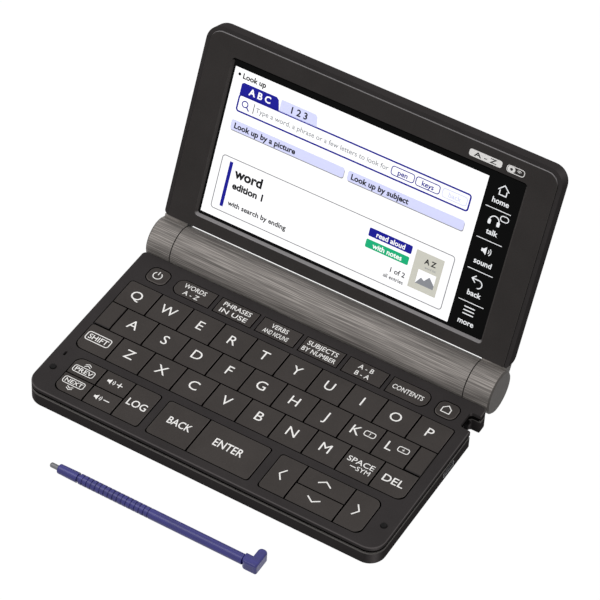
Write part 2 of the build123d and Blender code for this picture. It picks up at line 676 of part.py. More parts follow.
def lid_screws():
    screws = []
    for x, s in boss_places():
        screw = post(x, s, LID_SCREW_HEAD_R, FRAME_D, FRAME_D + LID_SCREW_HEAD)
        screw += post(x, s, SCREW_R, LID_BACK_D + LID_BACK + FIT, FRAME_D + FIT)
        screws.append(LID * screw)
    return screws


# ---- inside the base ----
def board_shape(z0, z1):
    half, waist_half = HALF_X - BOARD_SIDE, HALF_X - BOARD_WAIST_SIDE
    waist_y = FRONT_Y + BOARD_WAIST
    shape = slab(-half, half, waist_y, BOARD_REAR_Y, z0, z1)
    shape += slab(-waist_half, waist_half, BOARD_FRONT_Y, waist_y, z0, z1)
    relief = NOTCH_WALL + FIT
    shape -= slab(NOTCH_X - relief, HALF_X, NOTCH_Y0 - relief, BOARD_REAR_Y + 1, z0 - 1, z1 + 1)
    return shape


def main_board():
    board = board_shape(BOARD_Z, BOARD_TOP_Z)
    for x, bay, size in CHIPS:
        y = BOARD_FRONT_Y + bay * RIB_SPACING
        board += slab(x - size / 2, x + size / 2, y - size / 2, y + size / 2,
                      BOARD_Z - CHIP_HEIGHT, BOARD_Z + FIT)
    return board


def key_membrane():
    """Rubber sheet with a pad under every key."""
    top = BOARD_TOP_Z + MEMBRANE_THICKNESS
    sheet = board_shape(BOARD_TOP_Z, top)
    cells = [cell[1:5] for cell in letter_plan()]
    cells += [cell[:4] for cell in side_plan() + cursor_plan() + list(middle_plan().values())]
    half = PAD_SIZE / 2
    for x0, x1, y0, y1 in cells:
        x, y = (x0 + x1) / 2, (y0 + y1) / 2
        sheet += slab(x - half, x + half, y - half, y + half, top - FIT, PAD_TOP_Z)
    centres = [(cell[1] + cell[2]) / 2 for cell in dictionary_plan()]
    round_x = ROUND_KEY_X0 + ROUND_KEY_SIZE / 2
    for x in centres + [-round_x, round_x]:
        sheet += slab(x - half, x + half, DICT_FRONT_Y, BOARD_REAR_Y, top - FIT, PAD_TOP_Z)
    return sheet


def speaker():
    x, y = -HALF_X + SPEAKER_SIDE, SPEAKER_Y
    body = post(x, y, SPEAKER_R, FLOOR_Z, FLOOR_Z + SPEAKER_HEIGHT / 2)
    return body + post(x, y, 0.7 * SPEAKER_R, FLOOR_Z, FLOOR_Z + SPEAKER_HEIGHT)


def usb_socket():
    mouth = HALF_X - SOCKET_INSET
    z1 = BOARD_Z
    z0 = z1 - SOCKET_HEIGHT
    y0 = SOCKET_Y - SOCKET_WIDTH / 2
    y1 = SOCKET_Y + SOCKET_WIDTH / 2
    w = SOCKET_WALL
    shell = slab(mouth - SOCKET_DEPTH, mouth, y0, y1, z0, z1)
    shell -= slab(mouth - SOCKET_DEPTH + w, mouth + 1, y0 + w, y1 - w, z0 + w, z1 - w)
    tongue_z = (z0 + z1) / 2
    return shell + slab(mouth - SOCKET_DEPTH, mouth - 1, y0 + 3 * w, y1 - 3 * w,
                        tongue_z - w, tongue_z + w)


def case_screws():
    screws = []
    head_top = FOOT_HEIGHT + SCREW_HEAD
    for x, y in SCREWS_AT:
        screw = post(x, y, SCREW_HEAD_R, FOOT_HEIGHT + FIT, head_top)
        screws.append(screw + post(x, y, SCREW_R, head_top - FIT, DECK_UNDER_Z - 2 * FIT))
    return screws


def rubber_pads():
    pads = []
    for side in (-1, 1):
        pads.append(post(side * (HALF_X - FOOT_SIDE), FRONT_Y + FOOT_FRONT, FOOT_R, 0, FOOT_HEIGHT))
        pads.append(post(side * (HALF_X - FOOT_REAR_SIDE), CASE_REAR_Y - FOOT_REAR, FOOT_R,
                         0, FOOT_HEIGHT))
    for x, y in bumper_places():
        bumper = post(x, y, BUMPER_R, DECK_Z - BUMPER_SEAT, DECK_Z + BUMPER_PROUD)
        pads.append(fillet(bumper.edges().sort_by(Axis.Z)[-1], BUMPER_SOFT))
    return pads


def stylus_tube():
    x0 = NOTCH_X - TUBE_LENGTH
    tube = rod(x0, NOTCH_X, TUBE_R, TUBE_Y, TUBE_Z)
    return tube - rod(x0 + TUBE_WALL, NOTCH_X + 1, TUBE_R - TUBE_WALL, TUBE_Y, TUBE_Z)


# ---- stylus, lying on the table ----
def stylus_tip():
    start = STYLUS_TIP_X
    tip = rod(start, start + TIP_LENGTH, TIP_R, STYLUS_Y, STYLUS_Z)
    tip = fillet(tip.edges().sort_by(Axis.X)[0], 0.8 * TIP_R)
    inside = start + TIP_LENGTH + TIP_SOCKET
    return tip + rod(start + TIP_LENGTH - FIT, inside, TIP_CORE_R, STYLUS_Y, STYLUS_Z)


def stylus_body():
    def along(x0, length, radius):
        return rod(x0, x0 + length, radius, STYLUS_Y, STYLUS_Z)
    x = STYLUS_TIP_X + TIP_LENGTH
    nose = Pos(x + NOSE_LENGTH / 2, STYLUS_Y, STYLUS_Z) * Rot(0, 90, 0) * Cone(
        NOSE_R, STYLUS_R, NOSE_LENGTH)
    nose = fillet(nose.edges().sort_by(Axis.X)[0], NOSE_SOFT)
    body = nose + along(x + NOSE_LENGTH, NECK_LENGTH, NECK_R)
    x += NOSE_LENGTH + NECK_LENGTH
    grip = RING_COUNT * RING_PITCH
    body += along(x, grip, STYLUS_R - RING_GROOVE)
    for i in range(RING_COUNT):
        body += along(x + i * RING_PITCH, RING_WIDTH, STYLUS_R)
    x += grip
    body += along(x, SHAFT_LENGTH, STYLUS_R)
    x += SHAFT_LENGTH
    x1 = x + HEAD_LENGTH
    side = HEAD_WIDTH / 2
    foot_y = STYLUS_Y + side + FOOT_REACH
    head = slab(x, x1, STYLUS_Y - side, STYLUS_Y + STYLUS_R, 0, HEAD_HEIGHT, (HEAD_ROUND, HEAD_SOFT, 0, 0))
    head += slab(x1 - FOOT_WIDTH, x1, STYLUS_Y, foot_y, 0, HEAD_HEIGHT, (0, 0, FOOT_ROUND, FOOT_ROUND))
    head = fillet(head.faces().sort_by(Axis.Z)[-1].edges(), HEAD_SOFT)
    body += head
    start = STYLUS_TIP_X + TIP_LENGTH
    bore = TIP_CORE_R + RUNNING_FIT
    return body - along(start - FIT, TIP_SOCKET + 2 * FIT, bore)


# ---- write every node ----
def as_node(shape):
    pieces = shape if isinstance(shape, list) else [shape]
    solids = [solid for piece in pieces for solid in piece.solids()]
    return Compound(children=[Pos(0, -ORIGIN_Y, 0) * solid for solid in solids])


def key_nodes():
    nodes = {}
    for cell in letter_plan():
        name = cell[0] + "_key" if len(cell[0]) > 1 else "key_" + cell[0]
        nodes[name] = key_cap(*cell[1:6])
    for name, cell in middle_plan().items():
        nodes[name] = key_cap(*cell)
    nodes["side_keys"] = [key_cap(*cell) for cell in side_plan()]
    nodes["cursor_keys"] = [key_cap(*cell) for cell in cursor_plan()]
    nodes["dictionary_keys"] = [key_cap(*cell[1:6], gap=0) for cell in dictionary_plan()]
    nodes["power_key"] = round_cap(*round_key_plan(-1))
    nodes["home_key"] = round_cap(*round_key_plan(1))
    return nodes


NODES = {
    "lower_case": lower_case(),
    "upper_case": upper_case(),
    "barrel_shell": barrel_shell(),
    "battery_cover": battery_cover(),
    "battery_cells": battery_cells(),
    "battery_contacts": battery_contacts(),
    "hinge_bushes": hinge_bushes(),
    "hinge_shafts": hinge_shafts(),
    "hinge_caps": hinge_caps(),
    "lid_cover": lid_cover(),
    "lid_bezel": lid_bezel(),
    "touch_panel": touch_panel(),
    "display_module": display_module(),
    "display_frame": display_frame(),
    "lid_screws": lid_screws(),
    "main_board": main_board(),
    "key_membrane": key_membrane(),
    "speaker": speaker(),
    "usb_socket": usb_socket(),
    "case_screws": case_screws(),
    "rubber_pads": rubber_pads(),
    "stylus_tube": stylus_tube(),
    "stylus_body": stylus_body(),
    "stylus_tip": stylus_tip(),
    **key_nodes(),
}

for name, shape in NODES.items():
    export_step(as_node(shape), f"parts/{name}.step")
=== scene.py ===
import json
import math

import bmesh
import bpy
from bpy.props import FloatProperty, FloatVectorProperty, PointerProperty, StringProperty
from mathutils import Matrix, Vector

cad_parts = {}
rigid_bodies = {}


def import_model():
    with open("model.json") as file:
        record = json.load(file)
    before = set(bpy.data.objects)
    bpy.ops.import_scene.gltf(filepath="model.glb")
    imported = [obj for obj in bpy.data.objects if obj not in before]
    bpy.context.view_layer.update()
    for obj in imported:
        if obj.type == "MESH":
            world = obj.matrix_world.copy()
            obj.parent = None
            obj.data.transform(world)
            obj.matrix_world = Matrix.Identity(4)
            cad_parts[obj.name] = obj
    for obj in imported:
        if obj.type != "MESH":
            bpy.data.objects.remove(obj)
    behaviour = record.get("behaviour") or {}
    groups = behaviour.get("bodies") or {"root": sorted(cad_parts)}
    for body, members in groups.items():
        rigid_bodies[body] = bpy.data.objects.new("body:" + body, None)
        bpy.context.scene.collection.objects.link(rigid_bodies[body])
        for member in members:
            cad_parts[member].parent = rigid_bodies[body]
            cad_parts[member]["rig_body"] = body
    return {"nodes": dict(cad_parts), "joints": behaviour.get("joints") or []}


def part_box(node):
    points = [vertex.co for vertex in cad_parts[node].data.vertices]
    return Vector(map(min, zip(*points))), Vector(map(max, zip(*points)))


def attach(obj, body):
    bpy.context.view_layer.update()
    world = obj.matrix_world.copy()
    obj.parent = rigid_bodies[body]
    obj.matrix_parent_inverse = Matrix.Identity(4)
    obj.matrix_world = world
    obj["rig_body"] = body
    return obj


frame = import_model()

bl_info = {
    "name": "Electronic dictionary",
    "version": (1, 0, 0),
    "blender": (4, 5, 0),
    "location": "3D View > Sidebar > Dictionary",
    "description": "Finishes, legends, screen page and stage of an open electronic dictionary",
    "category": "Object",
}

MM = 0.001
PAINTED_EDGE_HIGHLIGHT_TONE = 3.2                # brightness of the highlight painted on rounded edges, against their plastic
LINE_LENGTH = 30 * MM            # of the barrel's brushed lines
END_DISC = 0.6                   # a barrel face that turns further than this to the side is an end disc
CAPITAL = 0.7                    # height of a capital as a share of the letter's size
SEAM_LOW, SEAM_SHADE_TOP = 6.6 * MM, 8.2 * MM       # from the foot of the groove between the two halves of the case to above its top: a band painted black as shade
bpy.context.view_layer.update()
NODES = frame["nodes"]
HINGE = next(joint for joint in frame["joints"] if joint["name"] == "lid_hinge")
HINGE_AT = Vector(HINGE["pos_m"])
LEAN = math.radians(180 + HINGE["range_deg"][0])
ALONG = Vector((0, math.cos(LEAN), math.sin(LEAN)))
OUT = Vector((0, -math.sin(LEAN), math.cos(LEAN)))

# Places on the lid's front, in millimetres across it and up from the hinge
STRIP_X = 53.2                   # middle of the touch strip
STRIP_LINES = (66.0, 53.3, 40.6, 27.6)
MENU_BARS = (25.6, 24.2, 22.8)
INK_LIFT = 0.004                 # clearance under anything printed
LAYER_THICKNESS, LAYER_STEP = 0.01, 0.015       # one layer of the page, and from one to the next
FOOT_MIN = 5 * MM                # a rubber foot is wider than this, a lid bumper is narrower
BEAD_HEIGHT = 0.5                # of the bead on a foot, above the table

LAMPS = (("key_light", (-0.35, -0.35, 0.75), 0.4, 1.6), ("rear_light", (-0.3, 0.8, 0.7), 0.6, 0.5))
LAMP_AIM = Vector((0, 0, 0.02))
LENS, SENSOR = 190.56, 36.0
CAMERA_AT = (0.38039, -0.68461, 0.86652)
CAMERA_AXES = ((0.85793, 0.51226, 0.03930), (-0.39377, 0.60650, 0.69073), (0.33000, -0.60807, 0.72204))
FLOOR_REACH, FLOOR_TONE = 3, 0.12
FLOOR_WHITE = 0.94               # share of plain white that the eye sees instead of the floor's own tone
ROOM_LIGHT = 0.75                # on the object; the eye sees a room of 1


def linear(code):
    """sRGB hex to the linear colour that a shader takes."""
    parts = [int(code[i:i + 2], 16) / 255 for i in (1, 3, 5)]
    return [v / 12.92 if v <= 0.04045 else ((v + 0.055) / 1.055) ** 2.4 for v in parts]


# ---- what a user would change ----
class CaseSettings(bpy.types.PropertyGroup):
    case_colour: FloatVectorProperty(
        name="Case", description="Moulded plastic of the keyboard deck and the lid's back",
        subtype="COLOR", default=linear("#3a3737"))
    bezel_colour: FloatVectorProperty(
        name="Bezel", description="Plastic round the screen", subtype="COLOR", default=linear("#3c3938"))
    key_colour: FloatVectorProperty(
        name="Keys", description="Key tops", subtype="COLOR", default=linear("#464240"))
    barrel_colour: FloatVectorProperty(
        name="Barrel", description="Brushed coating of the hinge barrel", subtype="COLOR",
        default=linear("#85807c"))
    grain: FloatProperty(
        name="Grain", description="Size of the moulded surface's grain", unit="LENGTH",
        default=0.35 * MM, min=0.05 * MM, precision=5)
    hairline: FloatProperty(
        name="Hairline", description="Distance between the brushed lines of the barrel", unit="LENGTH",
        default=0.4 * MM, min=0.05 * MM, precision=5)


class LegendSettings(bpy.types.PropertyGroup):
    ink_colour: FloatVectorProperty(
        name="Ink", description="Printed letters and marks", subtype="COLOR", default=linear("#fbf9f6"))
    letter_height: FloatProperty(
        name="Letter height", description="Height of a capital on a letter key", unit="LENGTH",
        default=4.35 * MM, min=MM, precision=5)
    print_depth: FloatProperty(
        name="Print thickness", description="Thickness of the printed marks", unit="LENGTH",
        default=0.02 * MM, min=0.005 * MM, precision=6)


class ScreenSettings(bpy.types.PropertyGroup):
    page_colour: FloatVectorProperty(
        name="Page", description="Lit background of the screen", subtype="COLOR",
        default=linear("#fdfdfd"))
    accent_colour: FloatVectorProperty(
        name="Accent", description="Chosen tab and marks of the page", subtype="COLOR",
        default=linear("#12128a"))
    glow: FloatProperty(
        name="Glow", description="Share of light that the lit page gives of itself", subtype="FACTOR",
        default=0.42, min=0.0, max=1.0)
    title: StringProperty(name="Title", description="Word on the page's card", default="word")


class StylusSettings(bpy.types.PropertyGroup):
    colour: FloatVectorProperty(
        name="Stylus", description="Plastic of the stylus", subtype="COLOR", default=linear("#292778"))


GROUPS = {
    "dictionary_case": CaseSettings,
    "dictionary_legend": LegendSettings,
    "dictionary_screen": ScreenSettings,
    "dictionary_stylus": StylusSettings,
}


# ---- materials ----
def node(tree, kind, values=None, links=None, **settings):
    """Adds one node with its settings, its unlinked values and its links."""
    made = tree.nodes.new(kind)
    for key, value in settings.items():
        setattr(made, key, value)
    for key, value in (values or {}).items():
        made.inputs[key].default_value = value
    for key, socket in (links or {}).items():
        tree.links.new(socket, made.inputs[key])
    return made


def new_material(name, **sockets):
    """A material, its tree and its main shader, with plain values on the shader's own sockets."""
    made = bpy.data.materials.new(name)
    made.use_nodes = True
    shader = made.node_tree.nodes["Principled BSDF"]
    for key, value in sockets.items():
        shader.inputs[key.replace("_", " ")].default_value = value
    return made, made.node_tree, shader


def coords_mm(tree, size=(1, 1, 1), centre=(0, 0, 0)):
    """Object coordinates counted in steps of the given sizes in millimetres."""
    scale = [1 / (MM * s) for s in size]
    place = [-c / MM * k * MM for c, k in zip(centre, scale)]
    source = node(tree, "ShaderNodeTexCoord")
    return node(tree, "ShaderNodeMapping", {"Scale": scale, "Location": place},
                {"Vector": source.outputs["Object"]}).outputs[0]


def maths(tree, operation, first, second=0.0, third=0.0):
    """One step of arithmetic on sockets or plain numbers."""
    made = node(tree, "ShaderNodeMath", operation=operation)
    for i, value in enumerate((first, second, third)):
        if hasattr(value, "links"):
            tree.links.new(value, made.inputs[i])
        else:
            made.inputs[i].default_value = value
    return made.outputs[0]


def split(tree, vector):
    """The x, y and z of a vector."""
    return node(tree, "ShaderNodeSeparateXYZ", links={"Vector": vector}).outputs


def noise(tree, vector, detail=2.0, scale=1.0, rough=0.5):
    return node(tree, "ShaderNodeTexNoise", {"Scale": scale, "Detail": detail, "Roughness": rough},
                {"Vector": vector}).outputs["Fac"]


def shade(colour, factor):
    return [min(c * factor, 1.0) for c in colour[:3]] + [1.0]


def ramp(tree, factor, stops):
    made = node(tree, "ShaderNodeValToRGB", links={"Fac": factor})
    points = made.color_ramp.elements
    while len(points) < len(stops):
        points.new(0.5)
    for point, (place, colour) in zip(points, stops):
        point.position = place
        point.color = colour
    return made.outputs["Color"]


def mottle(tree, factor, colour, dark, light):
    """A colour that runs from a darker to a lighter tone."""
    return ramp(tree, factor, [(0.3, shade(colour, dark)), (0.7, shade(colour, light))])


def spread_out(tree, factor, low, high):
    """A factor of 0 to 1 between two values."""
    return node(tree, "ShaderNodeMapRange", {"To Min": low, "To Max": high}, {"Value": factor}).outputs[0]


def feed(tree, shader, name, socket):
    tree.links.new(socket, shader.inputs[name])


def mix(tree, factor, first, second, kind="MIX"):
    made = node(tree, "ShaderNodeMix", data_type="RGBA", blend_type=kind)
    for socket, value in ((0, factor), (6, first), (7, second)):
        if hasattr(value, "links"):
            tree.links.new(value, made.inputs[socket])
        else:
            made.inputs[socket].default_value = value
    return made.outputs[2]


def bump(tree, shader, height, depth, strength=1.0):
    made = node(tree, "ShaderNodeBump", {"Strength": strength, "Distance": depth * MM},
                {"Height": height})
    tree.links.new(made.outputs[0], shader.inputs["Normal"])


def normal_parts(tree, lean=0.0):
    """The surface's direction, split along the axes of the row or, with a lean, of the lid."""
    source = node(tree, "ShaderNodeTexCoord")
    turned = node(tree, "ShaderNodeVectorRotate", {"Angle": -lean}, {"Vector": source.outputs["Normal"]},
                  rotation_type="X_AXIS")
    return split(tree, turned.outputs[0])


def edge_mask(tree, lean=0.0):
    """1 on chamfers and rounded edges, 0 on faces square to the axes."""
    x, y, z = [maths(tree, "ABSOLUTE", part) for part in normal_parts(tree, lean)]
    largest = maths(tree, "MAXIMUM", maths(tree, "MAXIMUM", x, y), z)
    return node(tree, "ShaderNodeMapRange", {"From Min": 0.97, "From Max": 0.75},
                {"Value": largest}).outputs[0]


def facing(tree, axis, start, full, lean=0.0):
    """Grows from 0 to 1 as a surface turns towards one axis, or away from it where full is below start."""
    return node(tree, "ShaderNodeMapRange", {"From Min": start, "From Max": full},
                {"Value": normal_parts(tree, lean)[axis]}).outputs[0]


def above(tree, level):
    """1 where the object is higher than the level."""
    source = node(tree, "ShaderNodeTexCoord")
    return maths(tree, "GREATER_THAN", split(tree, source.outputs["Object"])["Z"], level)


def inside(tree, low, high):
    """1 within an upright box between two corners."""
    source = node(tree, "ShaderNodeTexCoord")
    middle = (low + high) / 2
    size = high - low
    centred = node(tree, "ShaderNodeVectorMath", {1: middle}, {0: source.outputs["Object"]},
                   operation="SUBTRACT")
    shares = node(tree, "ShaderNodeVectorMath", {1: size}, {0: centred.outputs[0]}, operation="DIVIDE")
    sizes = node(tree, "ShaderNodeVectorMath", links={0: shares.outputs[0]}, operation="ABSOLUTE")
    x, y, z = split(tree, sizes.outputs[0])
    return maths(tree, "LESS_THAN", maths(tree, "MAXIMUM", maths(tree, "MAXIMUM", x, y), z), 0.5)


def moulded_plastic(name, colour, roughness, grain, depth=0.012, edge=0.35, parts=(), lean=0.0):
    """ABS from a spark-eroded mould: fine matt grain, a painted highlight that brightens rounded edges, and
    the tones of parts laid over it by their masks.
    """
    made, tree, shader = new_material(name, Roughness=roughness, IOR=1.5, Specular_IOR_Level=0.0)
    fine = noise(tree, coords_mm(tree, (grain / MM,) * 3), detail=3)
    broad = noise(tree, coords_mm(tree, (14, 14, 14)), detail=2)
    body = mottle(tree, fine, colour, 0.86, 1.14)
    body = mix(tree, 0.5, body, ramp(tree, broad, [(0.35, shade(colour, 0.9)), (0.65, shade(colour, 1.1))]))
    # painted highlight: rounded edges are lightened in colour, standing in for gloss
    body = mix(tree, maths(tree, "MULTIPLY", edge_mask(tree, lean), edge), body, shade(colour, PAINTED_EDGE_HIGHLIGHT_TONE))
    for mask, tone in parts:
        body = mix(tree, mask(tree), body, shade(tone, 1.0))
    feed(tree, shader, "Base Color", body)
    feed(tree, shader, "Roughness", spread_out(tree, fine, roughness - 0.06, roughness + 0.06))
    bump(tree, shader, fine, depth)
    return made


def brushed_coating(name, colour, hairline):
    """Metallic paint over plastic, brushed lengthwise: bands of light and dark round the barrel."""
    made, tree, shader = new_material(name, Roughness=0.52, IOR=1.5, Specular_IOR_Level=0.1)
    source = node(tree, "ShaderNodeTexCoord")
    centred = node(tree, "ShaderNodeVectorMath", {1: HINGE_AT}, {0: source.outputs["Object"]},
                   operation="SUBTRACT")
    parts = split(tree, centred.outputs[0])
    angle = maths(tree, "ARCTAN2", parts["Z"], parts["Y"])
    radius = (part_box("hinge_caps")[1].y - HINGE_AT.y)
    arc = maths(tree, "MULTIPLY", angle, radius / hairline)
    run = maths(tree, "MULTIPLY", parts["X"], 1 / LINE_LENGTH)
    lines = node(tree, "ShaderNodeCombineXYZ", links={"X": run, "Y": arc})
    fine = noise(tree, lines.outputs[0], detail=3, rough=0.6)
    wide = node(tree, "ShaderNodeVectorMath", {1: (0.25, 0.16, 1)}, {0: lines.outputs[0]},
                operation="MULTIPLY")
    band = noise(tree, wide.outputs[0], detail=2)
    streak = ramp(tree, fine, [(0.38, shade(colour, 0.42)), (0.5, shade(colour, 0.95)),
                               (0.62, shade(colour, 1.9))])
    bands = ramp(tree, band, [(0.35, shade(colour, 0.75)), (0.65, shade(colour, 1.25))])
    lines = mix(tree, 0.35, streak, bands)
    sideways = maths(tree, "ABSOLUTE", split(tree, source.outputs["Normal"])["X"])
    disc = maths(tree, "GREATER_THAN", sideways, END_DISC)
    faint = noise(tree, coords_mm(tree, (1.5, 1.5, 1.5)), detail=3)
    plain = mottle(tree, faint, colour, 0.42, 0.48)
    feed(tree, shader, "Base Color", mix(tree, disc, lines, plain))
    feed(tree, shader, "Metallic", spread_out(tree, disc, 0.3, 0.0))
    bump(tree, shader, fine, 0.01, 0.6)
    return made


def lit_pixels(name, colour, glow):
    """Liquid crystal display: the page's own light behind a fine grid of cells."""
    made, tree, shader = new_material(name, Roughness=0.55, IOR=1.5, Emission_Strength=glow,
                                      Emission_Color=shade(colour, 1.0))
    shader.inputs["Specular IOR Level"].default_value = 0.2
    cells = node(tree, "ShaderNodeTexWave", {"Scale": 0.8, "Distortion": 0.0},
                 {"Vector": coords_mm(tree, (1, 1, 1))}, bands_direction="X")
    soft = noise(tree, coords_mm(tree, (30, 30, 30)))
    tone = ramp(tree, cells.outputs["Fac"], [(0.0, shade(colour, 0.985)), (1.0, shade(colour, 1.0))])
    broad = mottle(tree, soft, colour, 0.98, 1.0)
    feed(tree, shader, "Base Color", mix(tree, 0.5, tone, broad))
    return made


def printed_ink(name, colour):
    """Pad-printed ink: thin, matt and slightly uneven."""
    made, tree, shader = new_material(name, Roughness=0.6, IOR=1.5)
    fine = noise(tree, coords_mm(tree, (0.25, 0.25, 0.25)), detail=2)
    feed(tree, shader, "Base Color", mottle(tree, fine, colour, 0.92, 1.04))
    bump(tree, shader, fine, 0.004)
    return made


def touch_glass(name, colour):
    """Coated glass over a black printed border: dark, glossy, with the faintest smear."""
    made, tree, shader = new_material(name, IOR=1.5, Roughness=0.12)
    shader.inputs["Specular IOR Level"].default_value = 0.05
    smear = noise(tree, coords_mm(tree, (6, 6, 6)), detail=3)
    feed(tree, shader, "Base Color", mottle(tree, smear, colour, 0.9, 1.1))
    feed(tree, shader, "Roughness", spread_out(tree, smear, 0.08, 0.2))
    return made


def worked_metal(name, colour, roughness, grain=0.3, stretch=1.0):
    """Rolled, turned or plated metal: fine lines along x and a little variation of gloss."""
    made, tree, shader = new_material(name, Metallic=1.0, Roughness=roughness)
    lines = noise(tree, coords_mm(tree, (grain * stretch, grain, grain)), detail=3)
    feed(tree, shader, "Base Color", mottle(tree, lines, colour, 0.85, 1.08))
    feed(tree, shader, "Roughness", spread_out(tree, lines, roughness - 0.08, roughness + 0.1))
    bump(tree, shader, lines, 0.004)
    return made


def soft_rubber(name, colour):
    """Moulded rubber: matt with a soft bloom."""
    made, tree, shader = new_material(name, Roughness=0.8, IOR=1.5, Specular_IOR_Level=0.1)
    fine = noise(tree, coords_mm(tree, (0.5, 0.5, 0.5)), detail=4)
    feed(tree, shader, "Base Color", mottle(tree, fine, colour, 0.8, 1.25))
    bump(tree, shader, fine, 0.02)
    return made


def clear_plastic(name, colour):
    """Polished acrylonitrile plastic of the stylus: glossy, its colour a little uneven along the flow of
    the mould.
    """
    made, tree, shader = new_material(name, Roughness=0.35, IOR=1.5)
    shader.inputs["Specular IOR Level"].default_value = 0.55
    flow = noise(tree, coords_mm(tree, (9, 1.5, 1.5)), detail=3)
    feed(tree, shader, "Base Color", mottle(tree, flow, colour, 0.82, 1.15))
    bump(tree, shader, noise(tree, coords_mm(tree, (0.6, 0.6, 0.6))), 0.004)
    return made


def solder_mask(name, colour):
    """Glass-fibre board under green solder mask, with the tracks showing as lighter lines."""
    made, tree, shader = new_material(name, Roughness=0.4, IOR=1.5)
    tracks = node(tree, "ShaderNodeTexBrick", {"Color1": shade(colour, 1.0), "Color2": shade(colour, 1.15),
                  "Mortar": shade(colour, 1.7), "Scale": 1.0, "Mortar Size": 0.04},
                  {"Vector": coords_mm(tree, (4, 2, 2))})
    feed(tree, shader, "Base Color", tracks.outputs["Color"])
    bump(tree, shader, tracks.outputs["Fac"], 0.03)
    return made


def cell_wrap(name, colour):
    """Shrink-wrapped label of a battery cell: a coloured band and a dark body."""
    made, tree, shader = new_material(name, Roughness=0.3, Metallic=0.4)
    along = split(tree, node(tree, "ShaderNodeTexCoord").outputs["Object"])["X"]
    low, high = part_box("battery_cells")
    length = (high.x - low.x) / 2
    share = maths(tree, "DIVIDE", maths(tree, "WRAP", along, length), length)
    dark, copper = shade(colour, 1.0), shade(linear("#b0783c"), 1.0)
    bands = ramp(tree, share, [(0.0, dark), (0.66, dark), (0.68, copper), (1.0, copper)])
    feed(tree, shader, "Base Color", bands)
    return made


def finishes():
    """Every finish of the CAD nodes."""
    case, stylus = bpy.context.scene.dictionary_case, bpy.context.scene.dictionary_stylus
    deck_low, deck_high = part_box("upper_case")
    key_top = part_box("key_a")[1].z
    # painted shade: near black laid in colour where shade falls, in the key wells, the seam groove, on the
    # key flanks and on the bezel's shaded walls
    painted_shade_black = linear("#0d0c0c")
    margin = Vector((5 * MM, 3.4 * MM, 0))
    well_top = Vector((deck_high.x, deck_high.y, key_top - 0.35 * MM)) - margin
    # painted shade: the inside of the key wells, below the key tops, is near black
    painted_well_shade = (lambda tree: inside(tree, deck_low + margin, well_top), painted_shade_black)
    blanks = (lambda tree: above(tree, key_top - 0.25 * MM), case.key_colour)
    # painted shade: the seam groove and the wall just above it are near black
    painted_groove_shade = (lambda tree: inside(tree, Vector((-1, -1, SEAM_LOW)), Vector((1, 1, SEAM_SHADE_TOP))), painted_shade_black)
    # painted highlight: a lighter band just under the seam groove, along the top edge of the lower half
    painted_lip_highlight = (lambda tree: inside(tree, Vector((-1, -1, SEAM_LOW - 0.4 * MM)), Vector((1, 1, SEAM_LOW))),
           linear("#666361"))
    # painted shade: key sides that turn away from the top are near black, darkening the gaps between keys
    shaded_key_flanks = (lambda tree: facing(tree, 2, 0.4, 0.25), painted_shade_black)
    lit_walls = (lambda tree: facing(tree, 1, 0.2, 0.6, LEAN), linear("#8c898a"))
    shaded_walls = (lambda tree: facing(tree, 1, -0.2, -0.5, LEAN), painted_shade_black)
    return {
        "case_plastic": moulded_plastic("moulded_case_plastic", case.case_colour, 0.5, case.grain, edge=0.8,
                                        parts=(painted_well_shade, blanks, painted_groove_shade, painted_lip_highlight)),
        "lid_plastic": moulded_plastic("moulded_lid_plastic", case.case_colour, 0.5, case.grain, edge=0.3,
                                       lean=LEAN),
        "bezel_plastic": moulded_plastic("satin_bezel_plastic", case.bezel_colour, 0.42, case.grain, 0.006,
                                         0.3, parts=(lit_walls, shaded_walls), lean=LEAN),
        "key_plastic": moulded_plastic("satin_key_plastic", case.key_colour, 0.42, case.grain, 0.004, 0.4,
                                       parts=(shaded_key_flanks,)),
        "barrel_paint": brushed_coating("brushed_barrel_coating", case.barrel_colour, case.hairline),
        "screen_glass": touch_glass("touch_glass", linear("#040404")),
        "display": touch_glass("display_module_glass", linear("#16181b")),
        "sheet_steel": worked_metal("rolled_sheet_steel", linear("#9c9ea0"), 0.4, 0.3, 12),
        "screw_steel": worked_metal("zinc_plated_screw_steel", linear("#b9babc"), 0.32),
        "bush_brass": worked_metal("turned_bush_brass", linear("#b08d57"), 0.3, 0.15),
        "cell_can": cell_wrap("cell_wrap", linear("#2b2e33")),
        "contact_plate": worked_metal("nickel_contact_plate", linear("#c9c7c0"), 0.25),
        "board": solder_mask("green_solder_mask", linear("#1f5a34")),
        "rubber": soft_rubber("moulded_rubber", linear("#1d1c1c")),
        "speaker_can": worked_metal("drawn_speaker_can", linear("#8b8d90"), 0.45),
        "socket_shell": worked_metal("nickel_socket_shell", linear("#8e8e90"), 0.5, 2.0, 4),
        "tube_plastic": moulded_plastic("stylus_tube_plastic", linear("#232222"), 0.45, case.grain),
        "stylus_plastic": clear_plastic("violet_stylus_plastic", stylus.colour),
        "stylus_tip_metal": worked_metal("turned_tip_metal", linear("#77777a"), 0.5, 0.2),
    }


